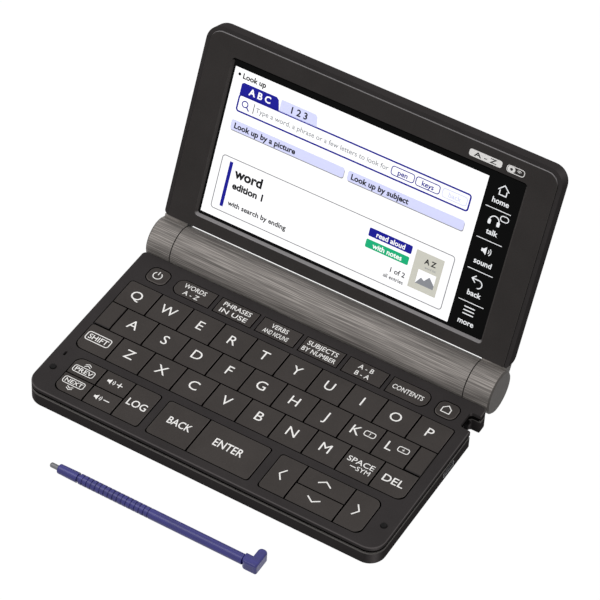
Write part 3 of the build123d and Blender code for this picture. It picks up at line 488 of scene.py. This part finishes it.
FINISHES = {}
FINISH_NODES = {
    "case_plastic": ["lower_case", "upper_case"],
    "lid_plastic": ["lid_cover"],
    "bezel_plastic": ["lid_bezel"],
    "barrel_paint": ["barrel_shell", "battery_cover", "hinge_caps"],
    "screen_glass": ["touch_panel"],
    "display": ["display_module"],
    "sheet_steel": ["display_frame"],
    "screw_steel": ["lid_screws", "case_screws", "hinge_shafts"],
    "bush_brass": ["hinge_bushes"],
    "cell_can": ["battery_cells"],
    "contact_plate": ["battery_contacts"],
    "board": ["main_board"],
    "rubber": ["rubber_pads", "key_membrane"],
    "speaker_can": ["speaker"],
    "socket_shell": ["usb_socket"],
    "tube_plastic": ["stylus_tube"],
    "stylus_plastic": ["stylus_body"],
    "stylus_tip_metal": ["stylus_tip"],
    "key_plastic": [name for name in NODES if name.endswith(("_key", "_keys")) or name.startswith("key_")
                    and name != "key_membrane"],
}


def dress(finish):
    """Gives a finish to each of its CAD nodes."""
    for name in FINISH_NODES[finish]:
        data = NODES[name].data
        data.materials.clear()
        data.materials.append(FINISHES[finish])


# ---- flat printed shapes ----
def lid_plane(depth):
    """Millimetres across, up and out of the lid's screen side, to the row frame."""
    turn = Matrix((Vector((1, 0, 0)), ALONG, OUT)).transposed().to_4x4()
    return Matrix.Translation(HINGE_AT) @ turn @ Matrix.Scale(MM, 4) @ Matrix.Translation((0, 0, depth))


def front_of(name):
    """How far a node reaches out of the lid's screen side, in millimetres from the hinge."""
    return max((Vector(v.co) - HINGE_AT).dot(OUT) for v in NODES[name].data.vertices) / MM


def deck_plane(x, y, z):
    """Millimetres round a point on a key top, to the row frame."""
    return Matrix.Translation((x, y, z)) @ Matrix.Scale(MM, 4)


def add_piece(name, data, body):
    """Puts a finished mesh in the scene, riding on its body."""
    piece = bpy.data.objects.new(name, data)
    bpy.context.scene.collection.objects.link(piece)
    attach(piece, body)


class Print:
    """Flat shapes in millimetres that get the thickness of ink, all of one piece."""

    def __init__(self, thickness=0.02):
        self.mesh = bmesh.new()
        self.thickness = thickness

    def ribbon(self, left, right, closed):
        """A strip between two rows of points, as a closed solid."""
        rows = []
        for z in (0.0, self.thickness):
            rows.append([self.mesh.verts.new((x, y, z)) for x, y in left])
            rows.append([self.mesh.verts.new((x, y, z)) for x, y in right])
        low_l, low_r, high_l, high_r = rows
        count = len(left)
        for i in range(count if closed else count - 1):
            j = (i + 1) % count
            self.mesh.faces.new((high_l[i], high_r[i], high_r[j], high_l[j]))
            self.mesh.faces.new((low_l[j], low_r[j], low_r[i], low_l[i]))
            self.mesh.faces.new((low_l[i], high_l[i], high_l[j], low_l[j]))
            self.mesh.faces.new((low_r[j], high_r[j], high_r[i], low_r[i]))
        if not closed:
            self.mesh.faces.new((low_l[0], low_r[0], high_r[0], high_l[0]))
            self.mesh.faces.new((high_l[-1], high_r[-1], low_r[-1], low_l[-1]))

    def polygon(self, points):
        low = [self.mesh.verts.new((x, y, 0.0)) for x, y in points]
        high = [self.mesh.verts.new((x, y, self.thickness)) for x, y in points]
        self.mesh.faces.new(high)
        self.mesh.faces.new(low[::-1])
        for i in range(len(points)):
            j = (i + 1) % len(points)
            self.mesh.faces.new((low[i], low[j], high[j], high[i]))

    def line(self, points, width, closed=False):
        """A line of even width with mitred corners."""
        count = len(points)
        left, right = [], []
        for i, (x, y) in enumerate(points):
            before = points[i - 1] if i or closed else None
            after = points[(i + 1) % count] if i < count - 1 or closed else None
            ways = []
            if before is not None:
                ways.append((Vector((x, y)) - Vector(before)).normalized())
            if after is not None:
                ways.append((Vector(after) - Vector((x, y))).normalized())
            way = sum(ways, Vector((0, 0))).normalized()
            side = Vector((-way.y, way.x))
            reach = width / 2 / max(abs(side.dot(Vector((-ways[0].y, ways[0].x)))), 0.3)
            left.append((x + side.x * reach, y + side.y * reach))
            right.append((x - side.x * reach, y - side.y * reach))
        self.ribbon(left, right, closed)

    def arc(self, x, y, radius, width, start=0.0, sweep=360.0, steps=24):
        count = max(3, round(steps * abs(sweep) / 360) + 1)
        whole = abs(sweep) >= 360
        turns = [math.radians(start + sweep * i / (count if whole else count - 1)) for i in range(count)]
        outer, inner = radius + width / 2, radius - width / 2
        left = [(x + inner * math.cos(a), y + inner * math.sin(a)) for a in turns]
        right = [(x + outer * math.cos(a), y + outer * math.sin(a)) for a in turns]
        self.ribbon(left, right, whole)

    def disc(self, x, y, radius, steps=24):
        turns = [math.tau * i / steps for i in range(steps)]
        self.polygon([(x + radius * math.cos(a), y + radius * math.sin(a)) for a in turns])

    def corners(self, x0, y0, x1, y1, radius):
        if radius <= 0:
            return [(x0, y0), (x1, y0), (x1, y1), (x0, y1)]
        points = []
        centres = ((x1 - radius, y0 + radius, 270), (x1 - radius, y1 - radius, 0),
                   (x0 + radius, y1 - radius, 90), (x0 + radius, y0 + radius, 180))
        for cx, cy, start in centres:
            for i in range(6):
                a = math.radians(start + 18 * i)
                points.append((cx + radius * math.cos(a), cy + radius * math.sin(a)))
        return points

    def panel(self, x0, y0, x1, y1, radius=0.0):
        self.polygon(self.corners(x0, y0, x1, y1, radius))

    def border(self, x0, y0, x1, y1, width, radius=0.0):
        self.line(self.corners(x0, y0, x1, y1, radius), width, closed=True)

    def words(self, text, x, y, height, align="CENTER", weight=0.0, width=None):
        """Text whose capitals have the given height, centred on y and fitted to a width if one is given."""
        curve = bpy.data.curves.new("lettering", "FONT")
        curve.body = text
        curve.size = height / CAPITAL
        curve.align_x = align
        curve.resolution_u = 3
        curve.offset = weight
        curve.extrude = self.thickness / 2
        holder = bpy.data.objects.new("lettering", curve)
        bpy.context.scene.collection.objects.link(holder)
        shape = bpy.data.meshes.new_from_object(holder.evaluated_get(bpy.context.evaluated_depsgraph_get()))
        reach = [v.co.x for v in shape.vertices]
        stretch = width / (max(reach) - min(reach)) if width else 1.0
        shape.transform(Matrix.Translation((x, y - height / 2, self.thickness / 2))
                        @ Matrix.Diagonal((stretch, 1, 1, 1)))
        self.mesh.from_mesh(shape)
        bpy.data.objects.remove(holder)
        bpy.data.curves.remove(curve)
        bpy.data.meshes.remove(shape)

    def finish(self, name, place, material, body, slot):
        """Lays the print on its surface and lets it ride."""
        bmesh.ops.remove_doubles(self.mesh, verts=self.mesh.verts, dist=1e-5)
        bmesh.ops.recalc_face_normals(self.mesh, faces=self.mesh.faces)
        data = bpy.data.meshes.new(name)
        self.mesh.to_mesh(data)
        self.mesh.free()
        data.transform(place)
        data.materials.append(material)
        add_piece(name, data, body)


def islands(name):
    """Boxes of the separate solids of one CAD node, from left to right, in metres."""
    mesh = bmesh.new()
    mesh.from_mesh(NODES[name].data)
    bmesh.ops.remove_doubles(mesh, verts=mesh.verts, dist=1e-6)
    seen, found = set(), []
    for start in mesh.verts:
        if start in seen:
            continue
        group, stack = [], [start]
        seen.add(start)
        while stack:
            point = stack.pop()
            group.append(point.co.copy())
            for edge in point.link_edges:
                other = edge.other_vert(point)
                if other not in seen:
                    seen.add(other)
                    stack.append(other)
        low = Vector([min(p[i] for p in group) for i in range(3)])
        high = Vector([max(p[i] for p in group) for i in range(3)])
        found.append((low, high))
    mesh.free()
    return sorted(found, key=lambda box: (round(box[0].x, 4), -box[0].y))


def key_place(box, across=0.0, along=0.0):
    low, high = box
    return deck_plane((low.x + high.x) / 2 + across * MM, (low.y + high.y) / 2 + along * MM,
                      high.z + 0.002 * MM)


# ---- what repeats ----
def repeat_tree(name, sizes):
    """A tree with a geometry input, named sizes and a finish, with its input and output sockets."""
    tree = bpy.data.node_groups.new(name, "GeometryNodeTree")
    tree.is_modifier = True
    tree.interface.new_socket("Geometry", in_out="OUTPUT", socket_type="NodeSocketGeometry")
    tree.interface.new_socket("Geometry", in_out="INPUT", socket_type="NodeSocketGeometry")
    for label in sizes:
        tree.interface.new_socket(label, in_out="INPUT", socket_type="NodeSocketFloat")
    tree.interface.new_socket("Finish", in_out="INPUT", socket_type="NodeSocketMaterial")
    return tree, node(tree, "NodeGroupInput").outputs, node(tree, "NodeGroupOutput").inputs


def spread(tree, given, result, shape):
    """Sets the shape on every point, makes the copies real and gives them the finish."""
    copies = node(tree, "GeometryNodeInstanceOnPoints",
                  links={"Points": given["Geometry"], "Instance": shape})
    real = node(tree, "GeometryNodeRealizeInstances", links={"Geometry": copies.outputs[0]})
    dressed = node(tree, "GeometryNodeSetMaterial", links={"Geometry": real.outputs[0],
                   "Material": given["Finish"]})
    tree.links.new(dressed.outputs[0], result["Geometry"])


def block(tree, *sides):
    """A box with the given sides."""
    size = node(tree, "ShaderNodeCombineXYZ", links=dict(enumerate(sides)))
    return node(tree, "GeometryNodeMeshCube", links={"Size": size.outputs[0]}).outputs["Mesh"]


def bar_tree():
    tree, given, result = repeat_tree("bars", ("Length", "Width", "Thickness"))
    spread(tree, given, result, block(tree, given["Length"], given["Width"], given["Thickness"]))
    return tree


def cross_tree():
    tree, given, result = repeat_tree("crosses", ("Length", "Width", "Thickness"))
    both = node(tree, "GeometryNodeJoinGeometry")
    tree.links.new(block(tree, given["Length"], given["Width"], given["Thickness"]), both.inputs[0])
    tree.links.new(block(tree, given["Width"], given["Length"], given["Thickness"]), both.inputs[0])
    spread(tree, given, result, both.outputs[0])
    return tree


def bead_tree():
    tree, given, result = repeat_tree("beads", ("Radius", "Thickness"))
    ring = node(tree, "GeometryNodeCurvePrimitiveCircle", {"Resolution": 48}, {"Radius": given["Radius"]})
    section = node(tree, "GeometryNodeCurvePrimitiveCircle", {"Resolution": 10},
                   {"Radius": given["Thickness"]})
    swept = node(tree, "GeometryNodeCurveToMesh", links={"Curve": ring.outputs[0],
                 "Profile Curve": section.outputs[0]})
    spread(tree, given, result, swept.outputs[0])
    return tree


def grow(name, points, tree, finish, sizes, place, body):
    """Runs a tree on a set of points, in millimetres, and keeps the result as one plain piece."""
    seeds = bpy.data.meshes.new(name + "_seeds")
    seeds.from_pydata(points, [], [])
    holder = bpy.data.objects.new(name + "_seeds", seeds)
    bpy.context.scene.collection.objects.link(holder)
    modifier = holder.modifiers.new("repeat", "NODES")
    modifier.node_group = tree
    values = dict(sizes, Finish=finish)
    for item in tree.interface.items_tree:
        if item.in_out == "INPUT" and item.name in values:
            modifier[item.identifier] = values[item.name]
    data = bpy.data.meshes.new_from_object(holder.evaluated_get(bpy.context.evaluated_depsgraph_get()))
    holder.modifiers.remove(modifier)
    bpy.data.objects.remove(holder)
    bpy.data.meshes.remove(seeds)
    data.name = name
    data.transform(place)
    add_piece(name, data, body)


# ---- legends: what is drawn on each key, in millimetres round its middle ----
def mark_shift(ink):
    ink.border(-5.45, -1.6, 4.55, 2.55, 0.36, 1.0)
    ink.words("SHIFT", -0.45, 0.48, 2.4, weight=0.03, width=8.2)


def mark_space(ink):
    ink.words("SPACE", -0.1, 1.0, 2.4, weight=0.02, width=10.8)
    ink.line([(-3.0, -2.0), (-0.6, -2.0)], 0.36)
    ink.words("SYM", 2.4, -2.0, 2.1, width=5.4)


def mark_delete(ink):
    ink.words("DEL", -0.3, 0.0, 3.3, weight=0.04, width=8.4)


def mark_enter(ink):
    ink.words("ENTER", -0.8, 0.6, 3.6, weight=0.05, width=12.0)


def mark_back(ink):
    ink.words("BACK", 0.3, 0.6, 3.3, weight=0.05, width=9.6)


def mark_log(ink):
    ink.words("LOG", 0.0, 0.2, 3.3, weight=0.04, width=8.0)


def mark_power(ink):
    ink.arc(-0.3, -0.1, 1.75, 0.38, 125, 290)
    ink.line([(-0.3, 0.2), (-0.3, 2.1)], 0.38)


def mark_home(ink):
    ink.line([(-2.0, -1.6), (-2.0, 0.5), (-0.3, 2.0), (1.4, 0.5), (1.4, -1.6)], 0.38, closed=True)


def mark_volume(ink, sign):
    x = -1.6
    ink.polygon([(x - 1.9, -0.5), (x - 1.2, -0.5), (x - 0.3, -1.3), (x - 0.3, 1.3), (x - 1.2, 0.5),
                 (x - 1.9, 0.5)])
    for radius in (0.7, 1.35):
        ink.arc(x - 0.1, 0, radius, 0.26, -50, 100)
    ink.line([(0.5, 0), (2.9, 0)], 0.4)
    if sign > 0:
        ink.line([(1.7, -1.2), (1.7, -0.2)], 0.4)
        ink.line([(1.7, 0.2), (1.7, 1.2)], 0.4)


def mark_sound(ink, x, y):
    ink.polygon([(x - 2.0, y - 0.6), (x - 1.2, y - 0.6), (x, y - 1.6), (x, y + 1.6),
                 (x - 1.2, y + 0.6), (x - 2.0, y + 0.6)])
    for radius in (0.9, 1.7):
        ink.arc(x + 0.2, y, radius, 0.32, -50, 100)


def mark_chevron(ink, way):
    turn = Matrix.Rotation(math.radians(way), 2)
    ink.line([tuple(turn @ Vector(p)) for p in ((-2.6, -0.9), (0, 0.9), (2.6, -0.9))], 0.5)


def mark_jump(ink, way, text):
    """An outlined label with a pair of small arrowheads beyond it."""
    ink.border(-4.9, -1.2 * way - 1.55, 3.8, -1.2 * way + 1.55, 0.3, 0.9)
    ink.words(text, -0.55, -1.2 * way, 1.9, weight=0.02, width=7.2)
    for step in (1.1, 2.0):
        ink.line([(-1.75, step * way), (-0.5, (step + 0.75) * way), (0.75, step * way)], 0.28)


def mark_box(ink, text):
    """A small outlined sign beside a letter."""
    ink.border(3.35, -0.45, 7.65, 1.95, 0.34, 0.8)
    ink.words(text, 5.5, 0.75, 1.5, weight=0.02)


MARKS = {
    "shift_key": mark_shift,
    "space_key": mark_space,
    "delete_key": mark_delete,
    "enter_key": mark_enter,
    "back_key": mark_back,
    "power_key": mark_power,
    "home_key": mark_home,
}
SIDE_MARKS = (lambda ink: mark_jump(ink, 1, "PREV"), lambda ink: mark_jump(ink, -1, "NEXT"),
              lambda ink: mark_volume(ink, 1), lambda ink: mark_volume(ink, -1), mark_log)
LETTER_BOXES = {"key_k": "?", "key_l": "+"}
DICTIONARY_WORDS = ((("WORDS", 9.4), ("A - Z", 6.6)), (("PHRASES", 11.8), ("IN USE", 11.6)),
                    (("VERBS", 7.0), ("AND NOUNS", 10.6)), (("SUBJECTS", 12.8), ("BY NUMBER", 14.2)),
                    (("A - B", 6.2), ("B - A", 6.0)), (("CONTENTS", 12.8),))


def stamp(name, draw, place, body):
    """Prints one mark on a key."""
    ink = Print(bpy.context.scene.dictionary_legend.print_depth / MM)
    draw(ink)
    ink.finish(name, place, FINISHES["ink"], body, "key_plastic")


def label(lines):
    """One or two lines of words for a wide key."""
    def draw(ink):
        for k, (text, width) in enumerate(lines):
            ink.words(text, -0.3, 1.45 - 3.4 * k if len(lines) > 1 else -0.2, 2.2, weight=0.02, width=width)
    return draw


def body_of(name):
    return NODES[name]["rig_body"]


# ---- operators ----
class DICTIONARY_OT_finishes(bpy.types.Operator):
    """Makes the finishes and gives them to the case, keys, barrel, lid and inner pieces"""
    bl_idname = "dictionary.finishes"
    bl_label = "Finishes"

    def execute(self, context):
        FINISHES.update(finishes())
        for finish in FINISH_NODES:
            dress(finish)
        return {"FINISHED"}


class DICTIONARY_OT_letters(bpy.types.Operator):
    """Prints a capital on each letter key"""
    bl_idname = "dictionary.letters"
    bl_label = "Letters"

    def execute(self, context):
        legend = context.scene.dictionary_legend
        FINISHES["ink"] = printed_ink("pale_printed_ink", legend.ink_colour)
        for name in sorted(NODES):
            if name.startswith("key_") and len(name) == 5:
                ink = Print(legend.print_depth / MM)
                ink.words(name[-1].upper(), 0, 0, legend.letter_height / MM)
                across = -0.6
                if name in LETTER_BOXES:
                    mark_box(ink, LETTER_BOXES[name])
                    across = -2.8
                ink.finish(name + "_letter", key_place(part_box(name), across, 0.4), FINISHES["ink"],
                           body_of(name), "key_plastic")
        return {"FINISHED"}


class DICTIONARY_OT_marks(bpy.types.Operator):
    """Prints the marks of the control keys"""
    bl_idname = "dictionary.marks"
    bl_label = "Key marks"

    def execute(self, context):
        for name, draw in MARKS.items():
            stamp(name + "_mark", draw, key_place(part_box(name)), body_of(name))
        for i, (box, way) in enumerate(zip(islands("cursor_keys"), (90, 0, 180, -90)), 1):
            stamp(f"cursor_mark_{i}", lambda ink: mark_chevron(ink, way), key_place(box, -0.6, 0.3),
                  body_of("cursor_keys"))
        for i, (box, draw) in enumerate(zip(islands("side_keys"), SIDE_MARKS), 1):
            stamp(f"side_mark_{i}", draw, key_place(box), body_of("side_keys"))
        for i, (box, lines) in enumerate(zip(islands("dictionary_keys"), DICTIONARY_WORDS), 1):
            stamp(f"dictionary_label_{i}", label(lines), key_place(box), body_of("dictionary_keys"))
        return {"FINISHED"}


class DICTIONARY_OT_page(bpy.types.Operator):
    """Lays the lit page with its tabs, search line, buttons and card on the display"""
    bl_idname = "dictionary.page"
    bl_label = "Screen page"

    def execute(self, context):
        screen = context.scene.dictionary_screen
        level = front_of("touch_panel")
        tints = {
            "page": screen.page_colour[:], "accent": screen.accent_colour[:],
            "tint": linear("#cfd2f5"), "card": linear("#fbfbfd"), "line": linear("#b2b2b6"),
            "grey": linear("#a4a7ae"), "text": linear("#101114"), "green": linear("#14a873"),
            "icon": linear("#e4e6e8"), "cover": linear("#c4c3b8"),
        }
        inks = {}

        def layer(tint, step):
            key = (tint, step)
            if key not in inks:
                inks[key] = Print(LAYER_THICKNESS)
            return inks[key]

        layer("page", 0).panel(-60.0, 16.7, 46.4, 77.0)
        layer("text", 1).disc(-57.7, 74.6, 0.6)
        layer("text", 1).words("Look up", -56.3, 74.5, 2.1, "LEFT", 0.09)
        layer("accent", 1).polygon([(-55.9, 67.0), (-38.9, 67.0), (-40.0, 71.2), (-41.0, 72.0),
                                    (-55.2, 72.0), (-55.9, 71.3)])
        layer("page", 2).words("A B C", -47.6, 69.6, 2.6, weight=0.1)
        layer("tint", 1).polygon([(-38.9, 67.2), (-22.8, 67.2), (-23.4, 71.0), (-24.3, 71.9),
                                  (-38.9, 71.9)])
        layer("text", 2).words("1 2 3", -31.0, 69.6, 2.6, weight=0.1)
        layer("accent", 1).border(-55.7, 60.6, 42.0, 67.1, 0.65, 1.0)
        layer("accent", 1).arc(-52.7, 64.1, 1.2, 0.42)
        layer("accent", 1).line([(-51.8, 63.2), (-50.7, 62.0)], 0.5)
        layer("text", 1).line([(-48.9, 61.9), (-48.9, 65.8)], 0.3)
        layer("grey", 1).words("Type a word, a phrase or a few letters to look for", -48.0, 63.8, 2.0,
                               "LEFT", 0.02, width=56.5)
        for x0, x1, tint, text in ((9.8, 19.2, "accent", "pen"), (20.0, 29.8, "accent", "keys"),
                                   (31.0, 41.0, "tint", "back")):
            layer(tint, 1).border(x0, 62.1, x1, 65.5, 0.36, 1.0)
            layer(tint, 1).words(text, (x0 + x1) / 2, 63.8, 2.0, weight=0.06)
        for x0, x1, text in ((-56.4, -7.8, "Look up by a picture"), (-6.2, 42.4, "Look up by subject")):
            layer("line", 1).panel(x0 + 0.3, 52.3, x1 + 0.2, 56.4, 0.9)
            layer("tint", 2).panel(x0, 52.7, x1, 56.8, 0.9)
            layer("text", 3).words(text, x0 + 1.4, 54.7, 2.2, "LEFT", 0.1)
        layer("card", 1).panel(-56.4, 19.9, 42.6, 42.0, 1.2)
        layer("line", 2).border(-56.4, 19.9, 42.6, 42.0, 0.4, 1.2)
        layer("accent", 2).panel(-53.0, 21.8, -51.6, 40.4)
        layer("text", 2).words(screen.title, -49.8, 37.0, 3.8, "LEFT", 0.2)
        layer("text", 2).words("edition 1", -49.8, 31.8, 2.7, "LEFT", 0.15)
        layer("text", 2).words("with search by ending", -49.8, 24.4, 2.0, "LEFT", 0.07)
        layer("accent", 2).panel(7.7, 35.7, 25.8, 39.1, 0.5)
        layer("page", 3).words("read aloud", 16.9, 37.4, 2.0, weight=0.06)
        layer("green", 2).panel(7.5, 31.0, 25.6, 34.4, 0.5)
        layer("page", 3).words("with notes", 16.7, 32.7, 2.0, weight=0.06)
        layer("text", 2).words("1 of 2", 25.8, 26.7, 2.0, "RIGHT", 0.05)
        layer("text", 2).words("all entries", 25.8, 23.7, 1.5, "RIGHT", 0.03)
        layer("cover", 2).panel(27.6, 23.4, 39.2, 38.8, 0.3)
        layer("text", 3).words("A Z", 34.0, 35.6, 2.0, weight=0.08)
        layer("grey", 3).words("word list", 34.6, 33.2, 0.9)
        layer("card", 3).panel(30.2, 26.0, 37.6, 31.6)
        layer("grey", 4).polygon([(30.2, 26.0), (37.6, 26.0), (37.6, 27.6), (35.2, 30.2), (33.4, 28.0),
                                  (32.0, 28.8)])
        icon = layer("icon", 0)
        icon.line([(51.0, 73.7), (53.2, 75.8), (55.4, 73.7)], 0.4)
        icon.line([(51.8, 73.8), (51.8, 71.9), (54.6, 71.9), (54.6, 73.8)], 0.4)
        icon.words("home", STRIP_X, 69.3, 2.1, weight=0.06)
        icon.arc(52.9, 61.4, 1.9, 0.4, 0, 180)
        icon.panel(50.5, 59.7, 51.7, 61.6, 0.4)
        icon.panel(54.1, 59.7, 55.3, 61.6, 0.4)
        icon.border(54.9, 62.5, 58.1, 64.6, 0.34, 1.0)
        icon.words("talk", STRIP_X, 56.9, 2.1, weight=0.06)
        mark_sound(icon, STRIP_X, 49.2)
        icon.words("sound", STRIP_X, 44.3, 2.1, weight=0.06)
        icon.line([(51.0, 37.2), (53.7, 37.2)], 0.4)
        icon.arc(53.7, 35.6, 1.6, 0.4, 90, -180)
        icon.line([(52.4, 38.6), (50.9, 37.2), (52.4, 35.8)], 0.4)
        icon.words("back", STRIP_X, 31.5, 2.1, weight=0.06)
        icon.words("more", STRIP_X, 19.7, 2.1, weight=0.06)
        for tint in sorted(set(key[0] for key in inks)):
            glow = screen.glow if tint not in ("text", "grey", "line") else 0.0
            FINISHES["lit_" + tint] = lit_pixels("lit_" + tint, tints[tint], glow)
        for (tint, step), ink in sorted(inks.items()):
            ink.finish(f"screen_{tint}_{step}", lid_plane(level + INK_LIFT + LAYER_STEP * step),
                       FINISHES["lit_" + tint], "lid", "display")
        return {"FINISHED"}


class DICTIONARY_OT_badges(bpy.types.Operator):
    """Prints two small plain signs on the bezel, above the screen's far corner"""
    bl_idname = "dictionary.badges"
    bl_label = "Badges"

    def execute(self, context):
        front = front_of("lid_bezel")
        pale = Print(0.02)
        pale.panel(37.0, 81.9, 50.3, 84.6, 0.9)
        pale.border(52.3, 82.0, 59.3, 84.5, 0.3, 1.0)
        pale.panel(52.6, 82.2, 55.6, 84.3, 0.9)
        for radius in (0.55, 1.1):
            pale.arc(57.2, 82.7, radius, 0.26, 40, 100)
        pale.finish("bezel_badges", lid_plane(front + INK_LIFT), FINISHES["ink"], "lid", "bezel_plastic")
        dark = Print(0.01)
        dark.words("A - Z", 43.6, 83.25, 1.7, weight=0.05, width=9.2)
        dark.disc(54.1, 83.25, 0.55)
        dark.finish("badge_letters", lid_plane(front + 0.026),
                    printed_ink("dark_printed_ink", linear("#1c1b1b")), "lid", "bezel_plastic")
        return {"FINISHED"}


class DICTIONARY_OT_strip_bars(bpy.types.Operator):
    """Rules the lines between the signs of the touch strip, and the bars of its last sign"""
    bl_idname = "dictionary.strip_bars"
    bl_label = "Strip bars"

    def execute(self, context):
        level = front_of("touch_panel")
        tree = bar_tree()
        for name, rows, length, width in (("strip_lines", STRIP_LINES, 10.3, 0.28),
                                          ("strip_menu_bars", MENU_BARS, 4.4, 0.42)):
            grow(name, [(STRIP_X, row, 0) for row in rows], tree, FINISHES["lit_icon"],
                 {"Length": length, "Width": width, "Thickness": LAYER_THICKNESS},
                 lid_plane(level + 0.012), "lid")
        return {"FINISHED"}


class DICTIONARY_OT_screw_crosses(bpy.types.Operator):
    """Lays a dark cross on the head of each case screw: painted shade that stands for its cross recess"""
    bl_idname = "dictionary.screw_crosses"
    bl_label = "Screw crosses"

    def execute(self, context):
        heads = [((low.x + high.x) / 2 / MM, (low.y + high.y) / 2 / MM, low.z / MM)
                 for low, high in islands("case_screws")]
        # painted shade: a near-black cross in place of the shade inside a cross recess
        dark = moulded_plastic("recess_shadow", linear("#0b0b0c"), 0.7, 0.2 * MM)
        grow("screw_crosses", heads, cross_tree(), dark, {"Length": 1.7, "Width": 0.42, "Thickness": 0.04},
             Matrix.Scale(MM, 4), body_of("case_screws"))
        return {"FINISHED"}


class DICTIONARY_OT_foot_beads(bpy.types.Operator):
    """Moulds the bead round the side of each rubber foot"""
    bl_idname = "dictionary.foot_beads"
    bl_label = "Foot beads"

    def execute(self, context):
        feet = [(low, high) for low, high in islands("rubber_pads") if high.x - low.x > FOOT_MIN]
        low, high = feet[0]
        radius = (high.x - low.x) / 2 / MM
        centres = [((a.x + b.x) / 2 / MM, (a.y + b.y) / 2 / MM, BEAD_HEIGHT) for a, b in feet]
        grow("foot_beads", centres, bead_tree(), FINISHES["rubber"], {"Radius": radius, "Thickness": 0.15},
             Matrix.Scale(MM, 4), body_of("rubber_pads"))
        return {"FINISHED"}


class DICTIONARY_OT_stage(bpy.types.Operator):
    """Sets the pale floor, the soft lights and the camera"""
    bl_idname = "dictionary.stage"
    bl_label = "Stage"

    def execute(self, context):
        floor = bpy.data.meshes.new("floor")
        r = FLOOR_REACH
        floor.from_pydata([(-r, -r, 0), (r, -r, 0), (r, r, 0), (-r, r, 0)], [], [(0, 1, 2, 3)])
        sheet = bpy.data.objects.new("floor", floor)
        context.scene.collection.objects.link(sheet)
        made, tree, shader = new_material("pale_floor_paper", Roughness=0.9)
        shader.inputs["Base Color"].default_value = (FLOOR_TONE,) * 3 + (1,)
        path = node(tree, "ShaderNodeLightPath")
        seen = maths(tree, "MAXIMUM", path.outputs["Is Camera Ray"], path.outputs["Is Glossy Ray"])
        rays = maths(tree, "MULTIPLY", seen, FLOOR_WHITE)
        white = node(tree, "ShaderNodeEmission", {"Color": (1, 1, 1, 1), "Strength": 1.07})
        blend = node(tree, "ShaderNodeMixShader", links={0: rays, 1: shader.outputs[0],
                     2: white.outputs[0]})
        tree.links.new(blend.outputs[0], tree.nodes["Material Output"].inputs["Surface"])
        floor.materials.append(made)

        world = bpy.data.worlds.new("soft_room")
        context.scene.world = world
        world.use_nodes = True
        tree = world.node_tree
        back = tree.nodes["Background"]
        path = node(tree, "ShaderNodeLightPath")
        seen = maths(tree, "MAXIMUM", path.outputs["Is Camera Ray"], path.outputs["Is Glossy Ray"])
        level = node(tree, "ShaderNodeMapRange", {"To Min": ROOM_LIGHT, "To Max": 1.0},
                     {"Value": seen})
        back.inputs["Color"].default_value = (1, 1, 1, 1)
        tree.links.new(level.outputs[0], back.inputs["Strength"])

        for name, place, size, power in LAMPS:
            lamp = bpy.data.lights.new(name, "AREA")
            lamp.energy = power
            lamp.size = size
            holder = bpy.data.objects.new(name, lamp)
            holder.location = place
            holder.rotation_euler = (LAMP_AIM - Vector(place)).to_track_quat("-Z", "Y").to_euler()
            context.scene.collection.objects.link(holder)

        lens = bpy.data.cameras.new("camera")
        lens.lens = LENS
        lens.sensor_width = SENSOR
        lens.clip_start = 0.05
        camera = bpy.data.objects.new("camera", lens)
        camera.matrix_world = Matrix.Translation(CAMERA_AT) @ Matrix(CAMERA_AXES).transposed().to_4x4()
        context.scene.collection.objects.link(camera)
        context.scene.camera = camera
        context.scene.view_settings.view_transform = "Standard"
        return {"FINISHED"}


class DICTIONARY_PT_panel(bpy.types.Panel):
    """Lists the pieces of the dictionary and their settings"""
    bl_idname = "DICTIONARY_PT_panel"
    bl_label = "Electronic dictionary"
    bl_space_type = "VIEW_3D"
    bl_region_type = "UI"
    bl_category = "Dictionary"

    def draw(self, context):
        for group, settings in GROUPS.items():
            box = self.layout.box()
            for name in settings.__annotations__:
                box.prop(getattr(context.scene, group), name)
        for operator in STEPS:
            self.layout.operator(operator.bl_idname)


STEPS = (DICTIONARY_OT_finishes, DICTIONARY_OT_letters, DICTIONARY_OT_marks, DICTIONARY_OT_page,
         DICTIONARY_OT_badges, DICTIONARY_OT_strip_bars, DICTIONARY_OT_screw_crosses,
         DICTIONARY_OT_foot_beads, DICTIONARY_OT_stage)


def register():
    for group, settings in GROUPS.items():
        bpy.utils.register_class(settings)
        setattr(bpy.types.Scene, group, PointerProperty(type=settings))
    for step in STEPS + (DICTIONARY_PT_panel,):
        bpy.utils.register_class(step)


def unregister():
    for step in (DICTIONARY_PT_panel,) + STEPS[::-1]:
        bpy.utils.unregister_class(step)
    for group, settings in GROUPS.items():
        delattr(bpy.types.Scene, group)
        bpy.utils.unregister_class(settings)


def main():
    register()
    for step in STEPS:
        space, name = step.bl_idname.split(".")
        getattr(getattr(bpy.ops, space), name)()


if __name__ == "__main__":
    main()
